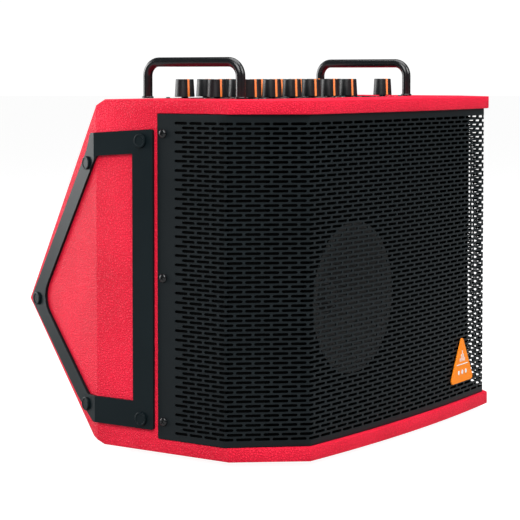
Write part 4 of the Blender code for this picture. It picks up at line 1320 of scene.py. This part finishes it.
@dataclass(frozen=True)
class Rear:
    """The rear panel with its mains inlet and rocker switch."""

    covering: Covering
    panel: tuple[float, float] = (0.150, 0.064)
    thick: float = 0.0023
    screw_inset: float = 0.006
    inlet_x: float = -0.036
    pin: tuple[float, float, float] = (0.0022, 0.0050, 0.0125)
    pins: tuple[tuple[float, float], ...] = ((-0.007, 0.0025), (0.0, -0.0025), (0.007, 0.0025))
    pin_root: float = -0.0150

    def matrix(self) -> Matrix:
        """The panel's frame in the model's."""
        return self.covering.cabinet.place() @ self.covering.panel_matrix()

    def build(self, screw: Screw) -> None:
        """Dresses the panel, the inlet and the switch, and adds the panel's screws and the inlet's pins.

        Args:
            screw: The kind of screw that holds the panel.
        """
        dress("rear_panel", POWDER_COAT)
        dress("power_inlet", SOCKET_PLASTIC)
        dress("power_switch", SOCKET_PLASTIC, 0.0004)
        frame_of_panel = self.matrix()
        mesh = screw.mesh("panel_screw")
        number = 0
        for sx in (-1, 1):
            for sy in (-1, 1):
                number += 1
                across, down = (size / 2 - self.screw_inset for size in self.panel)
                spot = Matrix.Translation((sx * across, sy * down, self.thick))
                piece = new_object(f"rear_panel_screw_{number}", mesh, BLACK_SCREW)
                piece.matrix_world = frame_of_panel @ spot
                settle(piece, "root")
        bm = bmesh.new()
        width, depth, long = self.pin
        for x, y in self.pins:
            outline = moved(rounded_outline(width, depth, 0.0008), self.inlet_x + x, y)
            add_prism(bm, outline, self.pin_root, self.pin_root + long)
        piece = new_object("inlet_pins", mesh_from(bm, "pins"), NICKEL)
        piece.data.transform(frame_of_panel)
        settle(piece, "root")


@dataclass(frozen=True)
class Feet:
    """The rubber feet, each with a sunk screw hole."""

    steps: int = 40
    hole: float = 0.0035
    names: tuple[str, ...] = ("left_front_foot", "left_rear_foot", "right_front_foot", "right_rear_foot")

    def build(self) -> None:
        """Makes the feet where their solids stand."""
        for name in self.names:
            low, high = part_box(name)
            r, tall = (high.x - low.x) / 2, high.z - low.z
            profile = [
                (0, 0.003), (self.hole, 0.003), (self.hole, 0.0003), (self.hole + 0.0004, 0),
                (0.8 * r - 0.0008, 0), (0.8 * r, 0.0006),
                (r - 0.0003, tall - 0.0012), (r, tall - 0.0006), (r, tall), (0, tall),
            ]
            piece = new_object(name + "_rubber", turned(profile, self.steps, name), RUBBER)
            piece.location = ((low.x + high.x) / 2, (low.y + high.y) / 2, low.z)
            settle(piece, "root", [name], 35)


@dataclass(frozen=True)
class Inside:
    """What shows faintly through the grille: baffle, drivers and modules."""

    finishes: dict[str, Finish] = field(
        default_factory=lambda: {
            "baffle_board": BLACK_BOARD_AND_SHADE,
            "woofer_frame": BLACK_BOARD_AND_SHADE,
            "woofer_magnet": MAGNET,
            "woofer_cone": PAPER_AND_SHADE,
            "left_tweeter": BLACK_BOARD_AND_SHADE,
            "right_tweeter": BLACK_BOARD_AND_SHADE,
            "power_amp_module": CASE,
            "battery_pack": WRAP,
        }
    )

    def build(self) -> None:
        """Dresses every inner solid."""
        for node, finish in self.finishes.items():
            dress(node, finish)


# The studio


@dataclass(frozen=True)
class Studio:
    """Pale floor, soft light and the camera."""

    camera_place: Point = (-1.6810, -1.13475, 0.3926)
    camera_heading: float = -55.775
    camera_dip: float = 2.8
    lens: float = 123.78
    shift_up: float = -0.1907
    backdrop_heading: Point = (0.0, 1.0, 0.0)
    floor_glow: tuple[float, float] = (0.22, 0.95)  # how bright the floor is to the object, and to the camera
    backdrop_range: tuple[float, float] = (0.72, 0.97)  # cosines from its heading where it starts and is full
    backdrop_glow: tuple[float, float] = (0.05, 1.7)
    sky: float = 1.05

    def build_camera(self) -> None:
        """Makes the camera and sets it."""
        data = bpy.data.cameras.new("camera")
        data.lens, data.sensor_width, data.shift_y = self.lens, 36, self.shift_up
        data.clip_end = 50
        camera = bpy.data.objects.new("camera", data)
        camera.location = self.camera_place
        camera.rotation_euler = (math.radians(90 - self.camera_dip), 0, math.radians(self.camera_heading))
        bpy.context.scene.collection.objects.link(camera)
        bpy.context.scene.camera = camera

    def build_floor(self) -> None:
        """Lays the pale floor."""
        bm = bmesh.new()
        bmesh.ops.create_circle(bm, cap_ends=True, radius=30, segments=64)
        mesh = mesh_from(bm, "floor")
        material = bpy.data.materials.new("studio_floor")
        material.use_nodes = True
        tree = material.node_tree
        seen = wire(tree, "LightPath", {}).outputs["Is Camera Ray"]
        low, high = self.floor_glow
        glow = wire(tree, "MapRange", {"Value": seen, "To Min": low, "To Max": high})
        paint = {
            "Base Color": (0.25, 0.25, 0.25, 1),
            "Roughness": 0.9,
            "Specular IOR Level": 0.0,
            "Emission Color": (1, 1, 1, 1),
            "Emission Strength": glow.outputs["Result"],
        }
        feed(tree, tree.nodes["Principled BSDF"], paint)
        mesh.materials.append(material)
        floor = bpy.data.objects.new("studio_floor", mesh)
        bpy.context.scene.collection.objects.link(floor)

    def build_world(self) -> None:
        """Surrounds the object with a bright backdrop on one side and a dim room on the other."""
        world = bpy.data.worlds.new("studio")
        bpy.context.scene.world = world
        world.use_nodes = True
        tree = world.node_tree
        tree.nodes.clear()
        heading = wire(tree, "TexCoord", {}).outputs["Generated"]
        along = wire(tree, "VectorMath", {0: heading, 1: self.backdrop_heading}, operation="DOT_PRODUCT")
        (start, end), (dim, bright) = self.backdrop_range, self.backdrop_glow
        reach = {"From Min": start, "From Max": end, "To Min": dim, "To Max": bright}
        reach["Value"] = along.outputs["Value"]
        ramp = wire(tree, "MapRange", reach, interpolation_type="SMOOTHSTEP")
        room = wire(tree, "Background", {"Strength": ramp.outputs["Result"]})
        white = wire(tree, "Background", {"Color": (1, 1, 1, 1), "Strength": self.sky})
        seen = wire(tree, "LightPath", {}).outputs["Is Camera Ray"]
        mixed = wire(tree, "MixShader", {"Fac": seen, 1: room.outputs[0], 2: white.outputs[0]})
        wire(tree, "OutputWorld", {"Surface": mixed.outputs[0]})

    def lamp(self, name: str, place: Point, target: Point, size: tuple[float, float], power: float) -> None:
        """Hangs one soft box.

        Args:
            name: Its name.
            place: Where it hangs.
            target: What it faces.
            size: Its width and height.
            power: Its power in watts.
        """
        data = bpy.data.lights.new(name, "AREA")
        data.shape, data.size, data.size_y, data.energy = "RECTANGLE", size[0], size[1], power
        light = bpy.data.objects.new(name, data)
        light.location = place
        light.rotation_euler = (Vector(target) - Vector(place)).to_track_quat("-Z", "Y").to_euler()
        bpy.context.scene.collection.objects.link(light)

    def build(self) -> None:
        """Sets up the whole studio."""
        self.build_camera()
        self.build_floor()
        self.build_world()
        self.lamp("overhead_box", (0.2, -0.2, 2.4), (0, 0, 0.2), (2.2, 2.2), 66)
        self.lamp("left_box", (-2.4, -0.6, 1.9), (0, 0, 0.2), (1.6, 1.6), 66)
        self.lamp("front_box", (0.4, -2.5, 1.9), (0, 0, 0.2), (1.6, 1.6), 62)
        self.lamp("rear_box", (-0.7, 2.7, 0.7), (-0.1, 0.1, 0.2), (1.8, 1.6), 56)
        view = bpy.context.scene.view_settings
        view.view_transform, view.look = "Standard", "None"


def main() -> None:
    """Builds the amplifier's looks in order."""
    logging.basicConfig(level=logging.INFO, format="%(name)s: %(message)s")
    cabinet = Cabinet.from_frame()
    studio = Studio()
    studio.build()
    covering = Covering(cabinet)
    covering.build()
    covering.build_shade_lining()
    grille = Grille(cabinet)
    grille.build()
    grille.build_screws(Screw())
    Guards(cabinet).build()
    Handles().build()
    plate_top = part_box("control_plate")[1].z
    knobs = Knobs()
    spots = knobs.build(plate_top)
    knobs.build_button(plate_top)
    small = Screw(0.0024, 0.0013, 0.0014, 0.0005, 28)
    TopPanel(plate_top).build(spots, small)
    Badge(cabinet).build()
    Rear(covering).build(Screw(0.0030, 0.0017, 0.0018, 0.0006, 32))
    Feet().build()
    Inside().build()


if __name__ == "__main__":
    main()
